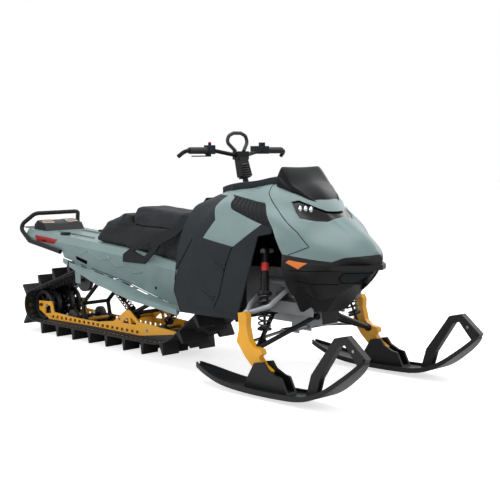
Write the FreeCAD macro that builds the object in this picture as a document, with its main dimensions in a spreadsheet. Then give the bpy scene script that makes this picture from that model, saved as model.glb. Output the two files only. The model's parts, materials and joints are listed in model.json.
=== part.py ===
"""A mountain snowmobile with a long deep-lug track, two skis and a handlebar.

X runs forward, Y to the rider's left and Z up, in millimetres.  The origin is on
the snow, under the middle of the machine.  Every driving size is in the sheet.
"""
import FreeCAD, Part
import Sketcher
import math
import os
import sys

DOC = FreeCAD.newDocument("snowmobile")
SHEET = DOC.addObject("Spreadsheet::Sheet", "sizes")
NODES = []

SIZES = {
    # General fits
    "touch_gap": 0.3,
    "cut_overrun": 60.0,
    # Track belt and lugs
    "track_width": 406.0,
    "belt_thickness": 8.0,
    "lug_height": 70.0,
    "lug_pitch": 88.9,
    "lug_root": 34.0,
    "lug_tip": 12.0,
    "lug_bite": 1.0,
    "lug_phase": 96.0,
    "paddle_width": 118.0,
    "centre_paddle_width": 150.0,
    # Wheels that the belt runs round
    "idler_x": -1449.0,
    "idler_radius": 100.0,
    "nose_x": -215.0,
    "nose_radius": 350.0,
    "driver_x": 115.0,
    "driver_z": 360.0,
    "driver_radius": 99.0,
    "carrier_x": -906.0,
    "carrier_z": 390.0,
    "carrier_radius": 72.0,
    "wheel_width": 26.0,
    "axle_radius": 10.0,
    "axle_reach": 150.0,
    "idler_outer_y": 96.0,
    "idler_inner_y": 40.0,
    "carrier_y": 150.0,
    "sprocket_y": 62.0,
    "sprocket_width": 40.0,
    # Rails of the rear suspension
    "rail_x": -1505.0,
    "rail_length": 1440.0,
    "rail_height": 240.0,
    "rail_half": 130.0,
    "rail_thickness": 9.0,
    "rail_window": 24.0,
    "rail_window_pitch": 50.0,
    "slider_width": 24.0,
    "rail_wheel_radius": 48.0,
    # Arms and shocks of the rear suspension
    "skid_tube_radius": 13.0,
    "skid_shaft_radius": 12.0,
    "rear_arm_x": -785.0,
    "rear_arm_z": 428.0,
    "rear_arm_foot_x": -1025.0,
    "rear_arm_foot_z": 222.0,
    "rocker_x": -1003.0,
    "rocker_z": 118.0,
    "rear_shock_top_x": -854.0,
    "rear_shock_top_z": 369.0,
    "rear_shock_foot_x": -596.0,
    "rear_shock_foot_z": 172.0,
    "centre_shock_foot_x": -330.0,
    "centre_shock_foot_z": 128.0,
    "front_arm_x": -85.0,
    "front_arm_z": 395.0,
    "front_arm_foot_x": -512.0,
    "front_arm_foot_z": 209.0,
    "arm_half": 100.0,
    "skid_eye_radius": 20.0,
    "skid_eye_width": 26.0,
    "skid_shock_radius": 17.0,
    "skid_spring_radius": 30.0,
    # Tunnel and running boards
    "tunnel_front_x": 310.0,
    "tunnel_length": 1810.0,
    "tunnel_top_z": 700.0,
    "tunnel_half": 218.0,
    "sheet_thickness": 3.0,
    "shoulder_width": 28.0,
    "shoulder_drop": 42.0,
    "ridge_y": 90.0,
    "ridge_width": 14.0,
    "ridge_height": 9.0,
    "board_half": 405.0,
    "board_thickness": 4.0,
    "board_beam_depth": 30.0,
    "board_beam_width": 12.0,
    "board_slot_length": 105.0,
    "board_slot_width": 26.0,
    "board_slot_pitch": 138.0,
    "board_slot_x": -965.0,
    # Rear end
    "bumper_tube_radius": 14.0,
    "bumper_bend": 42.0,
    "flap_length": 187.0,
    "lens_thickness": 5.0,
    "flap_half": 150.0,
    "lamp_width": 300.0,
    "anchor_x": -1130.0,
    "anchor_y": 150.0,
    "anchor_radius": 32.0,
    "anchor_height": 16.0,
    "anchor_bore_radius": 12.0,
    # Seat and tank cover
    "seat_x": -800.0,
    "seat_length": 820.0,
    "seat_height": 870.0,
    "seat_half": 188.0,
    "bench_half": 140.0,
    "tank_half": 200.0,
    # Cowl: hood, console, side panels and front fascia
    "cowl_x": 200.0,
    "cowl_length": 1000.0,
    "cowl_height": 1000.0,
    "cowl_half": 400.0,
    "cowl_wall": 7.0,
    "console_rise": 32.0,
    "chin_x": 1006.0,
    "chin_length": 28.0,
    "chin_half": 60.0,
    "chin_z": 374.0,
    "lamp_depth": 16.0,
    "reflector_thickness": 4.0,
    "spoiler_thickness": 24.0,
    "spoiler_z": 606.0,
    # Engine and frame
    "engine_x": 330.0,
    "engine_length": 300.0,
    "engine_width": 460.0,
    "engine_z": 330.0,
    "engine_height": 310.0,
    "pan_thickness": 8.0,
    "liner_thickness": 6.0,
    "brace_tube_radius": 12.0,
    "brace_x": -437.0,
    "brace_z": 545.0,
    "brace_length": 690.0,
    "brace_height": 300.0,
    "brace_thickness": 14.0,
    "bulkhead_half": 118.0,
    "bulkhead_thickness": 10.0,
    "bulkhead_x": 640.0,
    "bulkhead_length": 380.0,
    "bulkhead_z": 296.0,
    "bulkhead_height": 420.0,
    "cross_tube_radius": 14.0,
    # Front suspension, one side
    "lower_ball_x": 908.0,
    "lower_ball_y": 430.0,
    "lower_ball_z": 221.0,
    "upper_ball_x": 828.0,
    "upper_ball_y": 424.0,
    "upper_ball_z": 387.0,
    "lower_front_x": 975.0,
    "lower_rear_x": 680.0,
    "lower_mount_y": 75.3,
    "lower_mount_z": 346.0,
    "upper_front_x": 893.0,
    "upper_rear_x": 716.0,
    "upper_knee_front_x": 912.0,
    "upper_knee_rear_x": 780.0,
    "upper_knee_y": 352.0,
    "upper_knee_z": 421.0,
    "upper_arm_bend": 24.0,
    "upper_mount_y": 143.3,
    "upper_mount_z": 520.0,
    "arm_tube_radius": 12.0,
    "arm_boss_radius": 15.0,
    "ball_radius": 21.0,
    "shock_top_x": 786.0,
    "shock_top_y": 250.0,
    "shock_top_z": 683.0,
    "shock_radius": 20.0,
    "shock_rod_radius": 7.0,
    "shock_foot_eye": 8.0,
    "spring_radius": 36.0,
    "spring_wire_radius": 5.0,
    # Spindle and ski, one side
    "spindle_thickness": 34.0,
    "spindle_x": 795.0,
    "spindle_length": 240.0,
    "spindle_z": 112.0,
    "spindle_height": 290.0,
    "spindle_y": 449.0,
    "ski_bolt_x": 973.0,
    "ski_bolt_z": 150.0,
    "ski_bolt_radius": 8.0,
    "ski_front": 640.0,
    "ski_rear": 482.0,
    "ski_half": 86.0,
    "ski_height": 250.0,
    "ski_skin": 14.0,
    "ski_rim": 10.0,
    "ski_rim_height": 26.0,
    "keel_half": 16.0,
    "saddle_half": 36.0,
    "saddle_wall": 12.0,
    "loop_width": 36.0,
    "runner_radius": 6.0,
    # Steering
    "post_foot_x": 436.0,
    "post_foot_z": 880.0,
    "post_head_x": 355.0,
    "post_head_z": 1160.0,
    "post_radius": 16.0,
    "boot_radius": 30.0,
    "riser_start": 180.0,
    "riser_low_half": 39.0,
    "riser_top_half": 31.0,
    "riser_depth": 42.0,
    "clamp_width": 84.0,
    "clamp_height": 46.0,
    "clamp_depth": 44.0,
    "bar_radius": 11.0,
    "bar_bend": 34.0,
    "bar_half": 393.0,
    "bar_z": 1197.0,
    "bar_end_z": 1166.0,
    "bar_x": 328.0,
    "bar_end_x": 285.0,
    "grip_radius": 17.0,
    "grip_length": 125.0,
    "strap_radius": 10.0,
    "strap_x": 327.0,
    "strap_half": 79.0,
    "strap_widest_z": 1243.0,
    "strap_top_z": 1302.0,
    "strap_bend": 30.0,
    "steer_arm": 96.0,
    "tie_rod_radius": 8.0,
    "tie_rod_y": 410.0,
    "tie_ball_radius": 9.0,
    "tie_clearance": 4.0,
    "steer_lug_z": 246.0,
    "lug_plate": 34.0,
    "rack_x": 808.0,
    "rack_z": 262.0,
    "rack_guide_y": 42.0,
    "rack_radius": 14.0,
    "rack_half": 150.0,
}


class Length:
    """A size in millimetres with the sheet formula that gives it."""

    def __init__(self, value, formula):
        self.value = float(value)
        self.formula = formula

    def __float__(self):
        return self.value

    def __add__(self, other):
        other = as_length(other)
        return Length(self.value + other.value, f"({self.formula} + {other.formula})")

    def __radd__(self, other):
        return as_length(other) + self

    def __sub__(self, other):
        other = as_length(other)
        return Length(self.value - other.value, f"({self.formula} - {other.formula})")

    def __rsub__(self, other):
        return as_length(other) - self

    def __mul__(self, share):
        return Length(self.value * share, f"({self.formula} * {share})")

    def __truediv__(self, parts):
        return Length(self.value / parts, f"({self.formula} / {parts})")

    def __neg__(self):
        return Length(-self.value, f"(-{self.formula})")


def as_length(number):
    """Return a Length for a Length or a plain number."""
    if isinstance(number, Length):
        return number
    return Length(number, repr(float(number)))


def fill_sheet():
    """Write every size to the sheet and return the sizes as Lengths."""
    lengths = {}
    for row, (alias, value) in enumerate(SIZES.items(), start=1):
        SHEET.set(f"A{row}", alias)
        SHEET.set(f"B{row}", str(value))
        SHEET.setAlias(f"B{row}", alias)
        lengths[alias] = Length(value, f"sizes.{alias}")
    DOC.recompute()
    return type("Sizes", (), lengths)


S = fill_sheet()
S.tunnel_x = S.tunnel_front_x - S.tunnel_length
ZERO = as_length(0)
UP = FreeCAD.Vector(0, 0, 1)
SIDES = {"right": -1, "left": 1}
STEER_LOCK_DEGREES = 28.0
SEAM_TURN_DEGREES = 37.0


def at(x, y, z):
    """Return a point from three sizes."""
    return FreeCAD.Vector(float(x), float(y), float(z))


def keep(label, item):
    """Name an object as a finished sub-part."""
    item.Label = label
    NODES.append(item)
    return item


def bind(item, **formulas):
    """Tie properties of an object to sizes of the sheet."""
    for name, length in formulas.items():
        item.setExpression(name, as_length(length).formula)
    return item


def move_to(item, x, y, z):
    """Tie the place of an object to sizes of the sheet."""
    for axis, length in zip("xyz", (x, y, z)):
        item.setExpression(f"Placement.Base.{axis}", as_length(length).formula)
    return item


def block(name, corner, spans):
    """Return a box from its low corner and its three spans."""
    item = DOC.addObject("Part::Box", name)
    bind(item, Length=spans[0], Width=spans[1], Height=spans[2])
    return move_to(item, *corner)


def upright(name, x, y, z, radius, height):
    """Return an upright cylinder that starts at z."""
    item = DOC.addObject("Part::Cylinder", name)
    bind(item, Radius=radius, Height=height)
    return move_to(item, x, y, z)


def disc(name, x, y, z, radius, width):
    """Return a cylinder along Y that starts at y."""
    item = DOC.addObject("Part::Cylinder", name)
    item.Placement.Rotation = FreeCAD.Rotation(FreeCAD.Vector(1, 0, 0), -90)
    bind(item, Radius=radius, Height=width)
    return move_to(item, x, y, z)


def rod(name, start, end, radius):
    """Return a round bar between two points."""
    item = DOC.addObject("Part::Cylinder", name)
    axis = end - start
    item.Height = axis.Length
    bind(item, Radius=radius)
    item.Placement = FreeCAD.Placement(start, FreeCAD.Rotation(UP, axis))
    return item


def ball(name, centre, radius):
    """Return a sphere."""
    item = DOC.addObject("Part::Sphere", name)
    bind(item, Radius=radius)
    item.Placement.Base = centre
    return item


def fuse(name, items):
    """Return the union of objects."""
    item = DOC.addObject("Part::MultiFuse", name)
    item.Shapes = items
    return item


def cut(name, base, tool):
    """Return the base with the tool taken out of it."""
    item = DOC.addObject("Part::Cut", name)
    item.Base = base
    item.Tool = tool
    return item


def common(name, first, second):
    """Return what two objects share."""
    item = DOC.addObject("Part::Common", name)
    item.Base = first
    item.Tool = second
    return item


def group(name, items):
    """Return solids that don't touch as one object."""
    item = DOC.addObject("Part::Compound", name)
    item.Links = items
    return item


def mirrored(name, source):
    """Return the copy of an object on the other side of the machine."""
    item = DOC.addObject("Part::Mirroring", name)
    item.Source = source
    item.Normal = FreeCAD.Vector(0, 1, 0)
    return item


def shaped(name, shape):
    """Return an object that holds a shape made with Part's own functions."""
    item = DOC.addObject("Part::Feature", name)
    item.Shape = shape
    return item


def origin_plane(body, role):
    """Return one of the body's own origin planes."""
    return next(plane for plane in body.Origin.OriginFeatures if plane.Role == role)


def draw_loop(sketch, points):
    """Draw a closed polygon whose corners are tied to sizes."""
    first = sketch.GeometryCount
    count = len(points)
    for index in range(count):
        start = points[index]
        end = points[(index + 1) % count]
        line = Part.LineSegment(at(start[0], start[1], 0), at(end[0], end[1], 0))
        sketch.addGeometry(line, False)
    for index in range(count):
        here = first + index
        after = first + (index + 1) % count
        sketch.addConstraint(Sketcher.Constraint("Coincident", here, 2, after, 1))
        for kind, length in zip(("DistanceX", "DistanceY"), points[index]):
            rule = sketch.addConstraint(Sketcher.Constraint(kind, -1, 1, here, 1, float(length)))
            sketch.setExpression(f"Constraints[{rule}]", as_length(length).formula)


def outline(origin, spans, shares):
    """Return the corners of an outline given as shares of two spans."""
    return [(origin[0] + spans[0] * along, origin[1] + spans[1] * up) for along, up in shares]


def plate(name, role, loops, depth, start):
    """Return a body with one pad of the loops: along -Y, +Z or +X with the plane."""
    body = DOC.addObject("PartDesign::Body", name)
    sketch = body.newObject("Sketcher::SketchObject", f"{name}_sketch")
    sketch.AttachmentSupport = [(origin_plane(body, role), "")]
    sketch.MapMode = "FlatFace"
    for points in loops:
        draw_loop(sketch, points)
    pad = body.newObject("PartDesign::Pad", f"{name}_pad")
    pad.Profile = sketch
    bind(pad, Length=depth)
    sketch.Visibility = False
    place = {"XZ_Plane": (ZERO, start, ZERO), "XY_Plane": (ZERO, ZERO, start)}
    return move_to(body, *place.get(role, (start, ZERO, ZERO)))


def side_plate(name, points, depth, start, holes=()):
    """Return a plate drawn from the side, from start towards the right."""
    return plate(name, "XZ_Plane", [points, *holes], depth, start)


def floor_plate(name, points, depth, start, holes=()):
    """Return a plate drawn from above, from start upwards."""
    return plate(name, "XY_Plane", [points, *holes], depth, start)


def end_plate(name, points, depth, start, holes=()):
    """Return a plate drawn from behind, from start forwards."""
    return plate(name, "YZ_Plane", [points, *holes], depth, start)


def rounded_path(points, bend):
    """Return a wire of straight runs joined by tangent arcs."""
    edges = []
    start = points[0]
    for before, corner, after in zip(points, points[1:], points[2:]):
        arrive = (corner - before).normalize()
        leave = (after - corner).normalize()
        turn = arrive.getAngle(leave)
        trim = float(bend) * math.tan(turn / 2)
        entry = corner - arrive * trim
        leaving = corner + leave * trim
        inward = (leave - arrive).normalize()
        centre = corner + inward * (float(bend) / math.cos(turn / 2))
        middle = centre - inward * float(bend)
        edges.append(Part.LineSegment(start, entry).toShape())
        edges.append(Part.Arc(entry, middle, leaving).toShape())
        start = leaving
    edges.append(Part.LineSegment(start, points[-1]).toShape())
    return Part.Wire(edges)


def bent_tube(points, radius, bend):
    """Return the shape of a round tube along a bent path, its seam turned away from the axes."""
    path = rounded_path(points, bend)
    rim = Part.Wire(Part.makeCircle(float(radius), points[0], points[1] - points[0]))
    rim.rotate(points[0], points[1] - points[0], SEAM_TURN_DEGREES)
    return path.makePipeShell([rim], True, False)


def both_sides(shape):
    """Return a shape with its copy on the other side."""
    return [shape, shape.mirror(FreeCAD.Vector(0, 0, 0), FreeCAD.Vector(0, 1, 0))]


def belt_circles():
    """Return the circles that the inside of the belt runs round, from the rear."""
    ground = float(S.lug_height + S.belt_thickness)
    idler = float(S.idler_radius)
    nose = float(S.nose_radius)
    return [
        (float(S.idler_x), ground + idler, idler),
        (float(S.nose_x), ground + nose, nose),
        (float(S.driver_x), float(S.driver_z), float(S.driver_radius)),
        (float(S.carrier_x), float(S.carrier_z), float(S.carrier_radius)),
    ]


def tangent_angles(circles):
    """Return the outward angle of the straight run that leaves each circle."""
    angles = []
    for here, after in zip(circles, circles[1:] + circles[:1]):
        reach = math.hypot(after[0] - here[0], after[1] - here[1])
        heading = math.atan2(after[1] - here[1], after[0] - here[0])
        angles.append(heading - math.acos((here[2] - after[2]) / reach))
    return angles


def belt_runs(offset):
    """Return the arcs and straight runs of the belt line, from the foot of the idler."""
    circles = belt_circles()
    angles = tangent_angles(circles)
    runs = []
    for index, circle in enumerate(circles):
        after = circles[(index + 1) % len(circles)]
        begin = angles[index - 1]
        end = angles[index]
        while end < begin:
            end += math.tau
        runs.append(("arc", circle, begin, end, (circle[2] + offset) * (end - begin)))
        leave = on_circle(circle, offset, end)
        arrive = on_circle(after, offset, end)
        runs.append(("line", leave, arrive, end, leave.distanceToPoint(arrive)))
    return runs[1:] + runs[:1]


def on_circle(circle, offset, angle):
    """Return the point at an angle on a circle grown by an offset."""
    radius = circle[2] + offset
    return FreeCAD.Vector(circle[0] + radius * math.cos(angle), 0, circle[1] + radius * math.sin(angle))


def belt_face(offset):
    """Return the flat face inside the belt line at an offset."""
    edges = []
    for kind, first, second, last, _length in belt_runs(offset):
        if kind == "line":
            edges.append(Part.LineSegment(first, second).toShape())
            continue
        points = [on_circle(first, offset, angle) for angle in (second, (second + last) / 2, last)]
        edges.append(Part.Arc(*points).toShape())
    return Part.Face(Part.Wire(edges))


def belt_station(distance):
    """Return the point and the outward angle at a distance along the belt's outside."""
    offset = float(S.belt_thickness)
    for kind, first, second, last, length in belt_runs(offset):
        if distance <= length:
            break
        distance -= length
    if kind == "line":
        return first + (second - first) * (distance / length), last
    angle = second + (last - second) * distance / length
    return on_circle(first, offset, angle), angle


def across(shape, start, width):
    """Return a flat shape at y = 0 moved to start and extruded by width along Y."""
    moved = shape.translated(FreeCAD.Vector(0, float(start), 0))
    return moved.extrude(FreeCAD.Vector(0, float(width), 0))


def lug_face(distance):
    """Return the outline of one lug at a distance along the belt."""
    foot, angle = belt_station(distance)
    outward = FreeCAD.Vector(math.cos(angle), 0, math.sin(angle))
    along = FreeCAD.Vector(-math.sin(angle), 0, math.cos(angle))
    corners = []
    for half, height in ((-S.lug_root / 2, -S.lug_bite), (S.lug_root / 2, -S.lug_bite),
                         (S.lug_tip / 2, S.lug_height), (-S.lug_tip / 2, S.lug_height)):
        corners.append(foot + along * float(half) + outward * float(height))
    return Part.Face(Part.makePolygon(corners + corners[:1]))


def make_track():
    """Make the belt with its rows of lugs, two outer paddles then one in the middle."""
    half = S.track_width / 2
    band = belt_face(float(S.belt_thickness)).cut(belt_face(0))
    belt = across(band, -half, S.track_width)
    length = sum(run[4] for run in belt_runs(float(S.belt_thickness)))
    rows = 2 * round(length / float(S.lug_pitch) / 2)
    lugs = []
    for row in range(rows):
        face = lug_face((float(S.lug_phase) + length * row / rows) % length)
        if row % 2:
            lugs.append(across(face, -S.centre_paddle_width / 2, S.centre_paddle_width))
            continue
        lugs.append(across(face, -half, S.paddle_width))
        lugs.append(across(face, half - S.paddle_width, S.paddle_width))
    return keep("track", shaped("track", belt.fuse(lugs)))


def wheel_set(name, x, z, radius, starts):
    """Return wheels of one radius whose sides nearest the middle are at the starts."""
    wheels = []
    for side, sign in SIDES.items():
        for index, start in enumerate(starts):
            low = start if sign > 0 else -start - S.wheel_width
            wheel = disc(f"{name}_{side}_{index}", x, low, z, radius, S.wheel_width)
            wheels.append(wheel)
    return wheels


def make_rear_axle():
    """Make the rear axle with its four idler wheels."""
    z = S.lug_height + S.belt_thickness + S.idler_radius
    radius = S.idler_radius - S.touch_gap
    wheels = wheel_set("idler", S.idler_x, z, radius, (S.idler_inner_y, S.idler_outer_y))
    shaft = disc("idler_shaft", S.idler_x, -S.axle_reach, z, S.axle_radius, S.axle_reach * 2)
    keep("rear_axle", fuse("rear_axle", [shaft, *wheels]))


def make_carrier_wheels():
    """Make the upper wheels that carry the belt's return run."""
    radius = S.carrier_radius - S.touch_gap
    wheels = wheel_set("carrier", S.carrier_x, S.carrier_z, radius, (S.carrier_y,))
    reach = S.tunnel_half - S.sheet_thickness
    shaft = disc("carrier_shaft", S.carrier_x, -reach, S.carrier_z, S.axle_radius, reach * 2)
    keep("carrier_wheels", fuse("carrier_wheels", [shaft, *wheels]))


def make_drive_axle():
    """Make the drive axle with its two sprocket drums."""
    radius = S.driver_radius - S.touch_gap
    reach = S.tunnel_half - S.sheet_thickness
    shaft = disc("drive_shaft", S.driver_x, -reach, S.driver_z, S.axle_radius * 1.5, reach * 2)
    items = [shaft]
    for side, sign in SIDES.items():
        low = S.sprocket_y if sign > 0 else -S.sprocket_y - S.sprocket_width
        items.append(disc(f"sprocket_{side}", S.driver_x, low, S.driver_z, radius, S.sprocket_width))
    keep("drive_axle", fuse("drive_axle", items))


RAIL_FOOT_SHARES = [(1.012, 0.285), (0.775, 0.09), (0.460, 0.105), (0.095, 0.08)]
RAIL_SHARES = [
    (0.016, 0.30), (0.014, 0.55), (0.1215, 0.58), (0.136, 0.292), (0.320, 0.245), (0.465, 0.240),
    (0.590, 0.34), (0.680, 0.690), (0.703, 0.690), (0.765, 0.429), (1.005, 0.345), *RAIL_FOOT_SHARES,
    (0.085, 0.12),
]
RAIL_HOOK_SHARES = [(0.066, 0.22), (0.066, 0.44), (0.108, 0.46), (0.114, 0.25)]
RAIL_PEAK_SHARES = [(0.650, 0.34), (0.679, 0.47), (0.693, 0.47), (0.697, 0.34)]
RAIL_STRUT_SHARES = [(0.712, 0.34), (0.708, 0.50), (0.716, 0.50), (0.744, 0.40), (0.746, 0.34)]


def rail_side(name, start):
    """Return one rail with its row of windows and the openings in its hook and its peak."""
    origin = (S.rail_x, S.lug_height)
    spans = (S.rail_length, S.rail_height)
    rail = side_plate(name, outline(origin, spans, RAIL_SHARES), S.rail_thickness, start,
                      holes=[outline(origin, spans, shares)
                             for shares in (RAIL_HOOK_SHARES, RAIL_PEAK_SHARES, RAIL_STRUT_SHARES)])
    sketch = rail.newObject("Sketcher::SketchObject", f"{name}_window")
    sketch.AttachmentSupport = [(origin_plane(rail, "XZ_Plane"), "")]
    sketch.MapMode = "FlatFace"
    corner = (S.rail_x + S.rail_length * 0.12, S.lug_height + S.rail_height * 0.125)
    draw_loop(sketch, outline(corner, (S.rail_window, S.rail_window * 0.8), [(0, 0), (1, 0), (1, 1), (0, 1)]))
    pocket = rail.newObject("PartDesign::Pocket", f"{name}_pocket")
    pocket.Profile = sketch
    pocket.Type = "ThroughAll"
    pocket.SideType = "Symmetric"
    sketch.Visibility = False
    row = rail.newObject("PartDesign::LinearPattern", f"{name}_row")
    row.Originals = [pocket]
    row.Direction = (sketch, ["H_Axis"])
    count = int(float(S.rail_length) * 0.66 / float(S.rail_window_pitch))
    row.Occurrences = count
    bind(row, Length=S.rail_window_pitch * (count - 1))
    rail.Tip = row
    return rail


def make_rails():
    """Make the two rails, bored for the rear axle."""
    z = S.lug_height + S.belt_thickness + S.idler_radius
    rails = []
    for side, sign in SIDES.items():
        start = S.rail_half * sign + S.rail_thickness / 2
        blank = rail_side(f"rail_{side}", start)
        bore = disc(f"rail_bore_{side}", S.idler_x, start - S.rail_thickness - S.touch_gap, z,
                    S.axle_radius + S.touch_gap, S.rail_thickness + S.touch_gap * 2)
        rails.append(cut(f"rail_bored_{side}", blank, bore))
    for name, x, z in (("rocker", S.rocker_x, S.rocker_z),
                       ("rear_shock", S.rear_shock_foot_x, S.rear_shock_foot_z),
                       ("centre_shock", S.centre_shock_foot_x, S.centre_shock_foot_z)):
        rails.append(disc(f"{name}_shaft", x, -S.rail_half, z, S.skid_shaft_radius, S.rail_half * 2))
    keep("rails", fuse("rails", rails))


def rail_foot():
    """Return the face between the rail's foot and a line below the belt's inside."""
    origin = (S.rail_x, S.lug_height)
    spans = (S.rail_length, S.rail_height)
    corners = [at(x, 0, z - S.touch_gap) for x, z in outline(origin, spans, RAIL_FOOT_SHARES)]
    corners.append(at(corners[-1].x, 0, 0))
    corners.append(at(corners[0].x, 0, 0))
    return Part.Face(Part.makePolygon(corners + corners[:1]))


def make_rail_sliders():
    """Make the plastic strips that slide on the belt under the rails."""
    strip = rail_foot().common(belt_face(-float(S.touch_gap)))
    half = S.slider_width / 2
    shape = across(strip, S.rail_half - half, S.slider_width)
    keep("rail_sliders", shaped("rail_sliders", Part.makeCompound(both_sides(shape))))


def make_rail_wheels():
    """Make the small wheels that roll on the belt beside the rails."""
    items = []
    radius = S.rail_wheel_radius
    z = S.lug_height + S.belt_thickness + radius + S.touch_gap
    inner = S.rail_half - S.rail_thickness / 2
    wheel_side = S.rail_half - S.slider_width / 2 - S.touch_gap
    for index, share in enumerate((0.27, 0.90)):
        x = S.rail_x + S.rail_length * share
        width = S.wheel_width
        for side, sign in SIDES.items():
            low = wheel_side - width if sign > 0 else -wheel_side
            items.append(disc(f"rail_wheel_{index}_{side}", x, low, z, radius, width))
        items.append(disc(f"rail_wheel_shaft_{index}", x, -inner + S.touch_gap, z, S.axle_radius,
                          (inner - S.touch_gap) * 2))
    keep("rail_wheels", fuse("rail_wheels", items))


def skid_arm(name, top_x, top_z, foot_x, foot_z, foot_half):
    """Return the pieces of an arm from a cross shaft in the tunnel down to its foot shaft."""
    reach = S.tunnel_half - S.sheet_thickness
    items = [disc(f"{name}_top", top_x, -reach, top_z, S.skid_shaft_radius, reach * 2)]
    items.append(disc(f"{name}_foot", foot_x, -foot_half, foot_z, S.skid_shaft_radius, foot_half * 2))
    for side, sign in SIDES.items():
        y = S.arm_half * sign
        items.append(rod(f"{name}_{side}", at(top_x, y, top_z), at(foot_x, y, foot_z), S.skid_tube_radius))
    return items


def make_skid_arms():
    """Make the two arms that hold the rear suspension in the tunnel, the rear one on rockers."""
    half = S.arm_half + S.skid_tube_radius
    rear = skid_arm("rear_arm", S.rear_arm_x, S.rear_arm_z, S.rear_arm_foot_x, S.rear_arm_foot_z, half)
    rear.append(disc("rear_arm_cross", S.rear_shock_top_x, -S.arm_half, S.rear_shock_top_z,
                     S.skid_shaft_radius, S.arm_half * 2))
    for side, sign in SIDES.items():
        y = S.arm_half * sign
        rear.append(rod(f"rocker_{side}", at(S.rear_arm_foot_x, y, S.rear_arm_foot_z),
                        at(S.rocker_x, y, S.rocker_z), S.skid_tube_radius))
        rear.append(disc(f"rocker_eye_{side}", S.rocker_x, y - S.skid_eye_width / 2, S.rocker_z,
                         S.skid_eye_radius, S.skid_eye_width))
    bores = disc("rocker_bore", S.rocker_x, -S.rail_half, S.rocker_z, S.skid_shaft_radius + S.touch_gap,
                 S.rail_half * 2)
    keep("skid_rear_arm", cut("skid_rear_arm", fuse("rear_arm_whole", rear), bores))
    inner = S.rail_half - S.rail_thickness / 2
    front = skid_arm("front_arm", S.front_arm_x, S.front_arm_z, S.front_arm_foot_x, S.front_arm_foot_z, inner)
    keep("skid_front_arm", fuse("skid_front_arm", front))


def skid_shock(name, top, foot):
    """Return one shock with an eye at each end and its spring's sleeve, bored for the shafts."""
    axis = foot - top
    width = S.skid_eye_width
    items = [
        disc(f"{name}_eye_top", top.x, -width / 2, top.z, S.skid_eye_radius, width),
        disc(f"{name}_eye_foot", foot.x, -width / 2, foot.z, S.skid_eye_radius, width),
        rod(f"{name}_body", top, top + axis * 0.55, S.skid_shock_radius),
        rod(f"{name}_rod", top + axis * 0.5, foot, S.shock_rod_radius),
        rod(f"{name}_spring", top + axis * 0.22, top + axis * 0.80, S.skid_spring_radius),
    ]
    bores = [disc(f"{name}_bore_{index}", end.x, -width, end.z, S.skid_shaft_radius + S.touch_gap, width * 2)
             for index, end in enumerate((top, foot))]
    return cut(name, fuse(f"{name}_whole", items), group(f"{name}_bores", bores))


def make_skid_shocks():
    """Make the two shocks of the rear suspension."""
    rear = skid_shock("rear_shock", at(S.rear_shock_top_x, ZERO, S.rear_shock_top_z),
                      at(S.rear_shock_foot_x, ZERO, S.rear_shock_foot_z))
    centre = skid_shock("centre_shock", at(S.front_arm_x, ZERO, S.front_arm_z),
                        at(S.centre_shock_foot_x, ZERO, S.centre_shock_foot_z))
    keep("skid_shocks", group("skid_shocks", [rear, centre]))


TUNNEL_TOP_SHARES = [(0.000, 0.985), (0.335, 0.929), (0.604, 0.877), (0.842, 0.809), (0.995, 0.771)]
TUNNEL_FOOT_SHARES = [
    (0.995, 0.455), (0.975, 0.455), (0.830, 0.475), (0.750, 0.520), (0.604, 0.611), (0.410, 0.690),
    (0.407, 0.590), (0.382, 0.590), (0.380, 0.700), (0.346, 0.715), (0.342, 0.535), (0.314, 0.535),
    (0.310, 0.728), (0.247, 0.757), (0.238, 0.806), (0.035, 0.885), (0.000, 0.900),
]
RIDGE_SPAN_SHARES = (0.120, 0.330)


def tunnel_line(shares, drop):
    """Return a line of the tunnel's side view, lowered by a drop."""
    return outline((S.tunnel_x, -drop), (S.tunnel_length, S.tunnel_top_z), shares)


def tunnel_arch(inset):
    """Return the solid under the tunnel's top and sloped shoulders, moved inwards by an inset."""
    sections = []
    half = float(S.tunnel_half)
    for along, up in TUNNEL_TOP_SHARES:
        x = float(S.tunnel_x + S.tunnel_length * along)
        top = float(S.tunnel_top_z) * up
        corners = [(0.0, top), (float(S.shoulder_width) - half, top),
                   (-half, top - float(S.shoulder_drop)), (-half, 0.0)]
        corners = offset_inwards(corners, inset)
        right = [FreeCAD.Vector(x, y, z) for y, z in corners]
        left = [FreeCAD.Vector(x, -y, z) for y, z in reversed(corners[1:])]
        sections.append(Part.makePolygon(right + left + right[:1]))
    return Part.makeLoft(sections, True, True)


def tunnel_ridge(name, y):
    """Return one raised rib that runs along the tunnel's deck."""
    ends = [(S.tunnel_x + S.tunnel_length * share, tunnel_top_at(share)) for share in RIDGE_SPAN_SHARES]
    upper = [(x, z + S.ridge_height) for x, z in ends]
    lower = [(x, z - S.sheet_thickness / 2) for x, z in reversed(ends)]
    return side_plate(name, upper + lower, S.ridge_width, y + S.ridge_width / 2)


def make_tunnel():
    """Make the sheet tunnel that the belt's upper run passes through, with its deck ribs."""
    side = side_plate("tunnel_side", tunnel_line(TUNNEL_TOP_SHARES + TUNNEL_FOOT_SHARES, ZERO),
                      S.tunnel_half * 2, S.tunnel_half)
    outer = common("tunnel_outer", side, shaped("tunnel_arch", tunnel_arch(0)))
    inner = shaped("tunnel_inner", tunnel_arch(float(S.sheet_thickness)))
    ribs = [tunnel_ridge(f"tunnel_rib_{name}", S.ridge_y * sign) for name, sign in SIDES.items()]
    sheet = fuse("tunnel_whole", [cut("tunnel_sheet", outer, inner), *ribs])
    bores = [upright(f"tunnel_bore_{name}", S.anchor_x, S.anchor_y * sign, S.tunnel_top_z / 2,
                     S.anchor_bore_radius + S.touch_gap * 2, S.tunnel_top_z) for name, sign in SIDES.items()]
    keep("tunnel", cut("tunnel", sheet, group("tunnel_bores", bores)))


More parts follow.
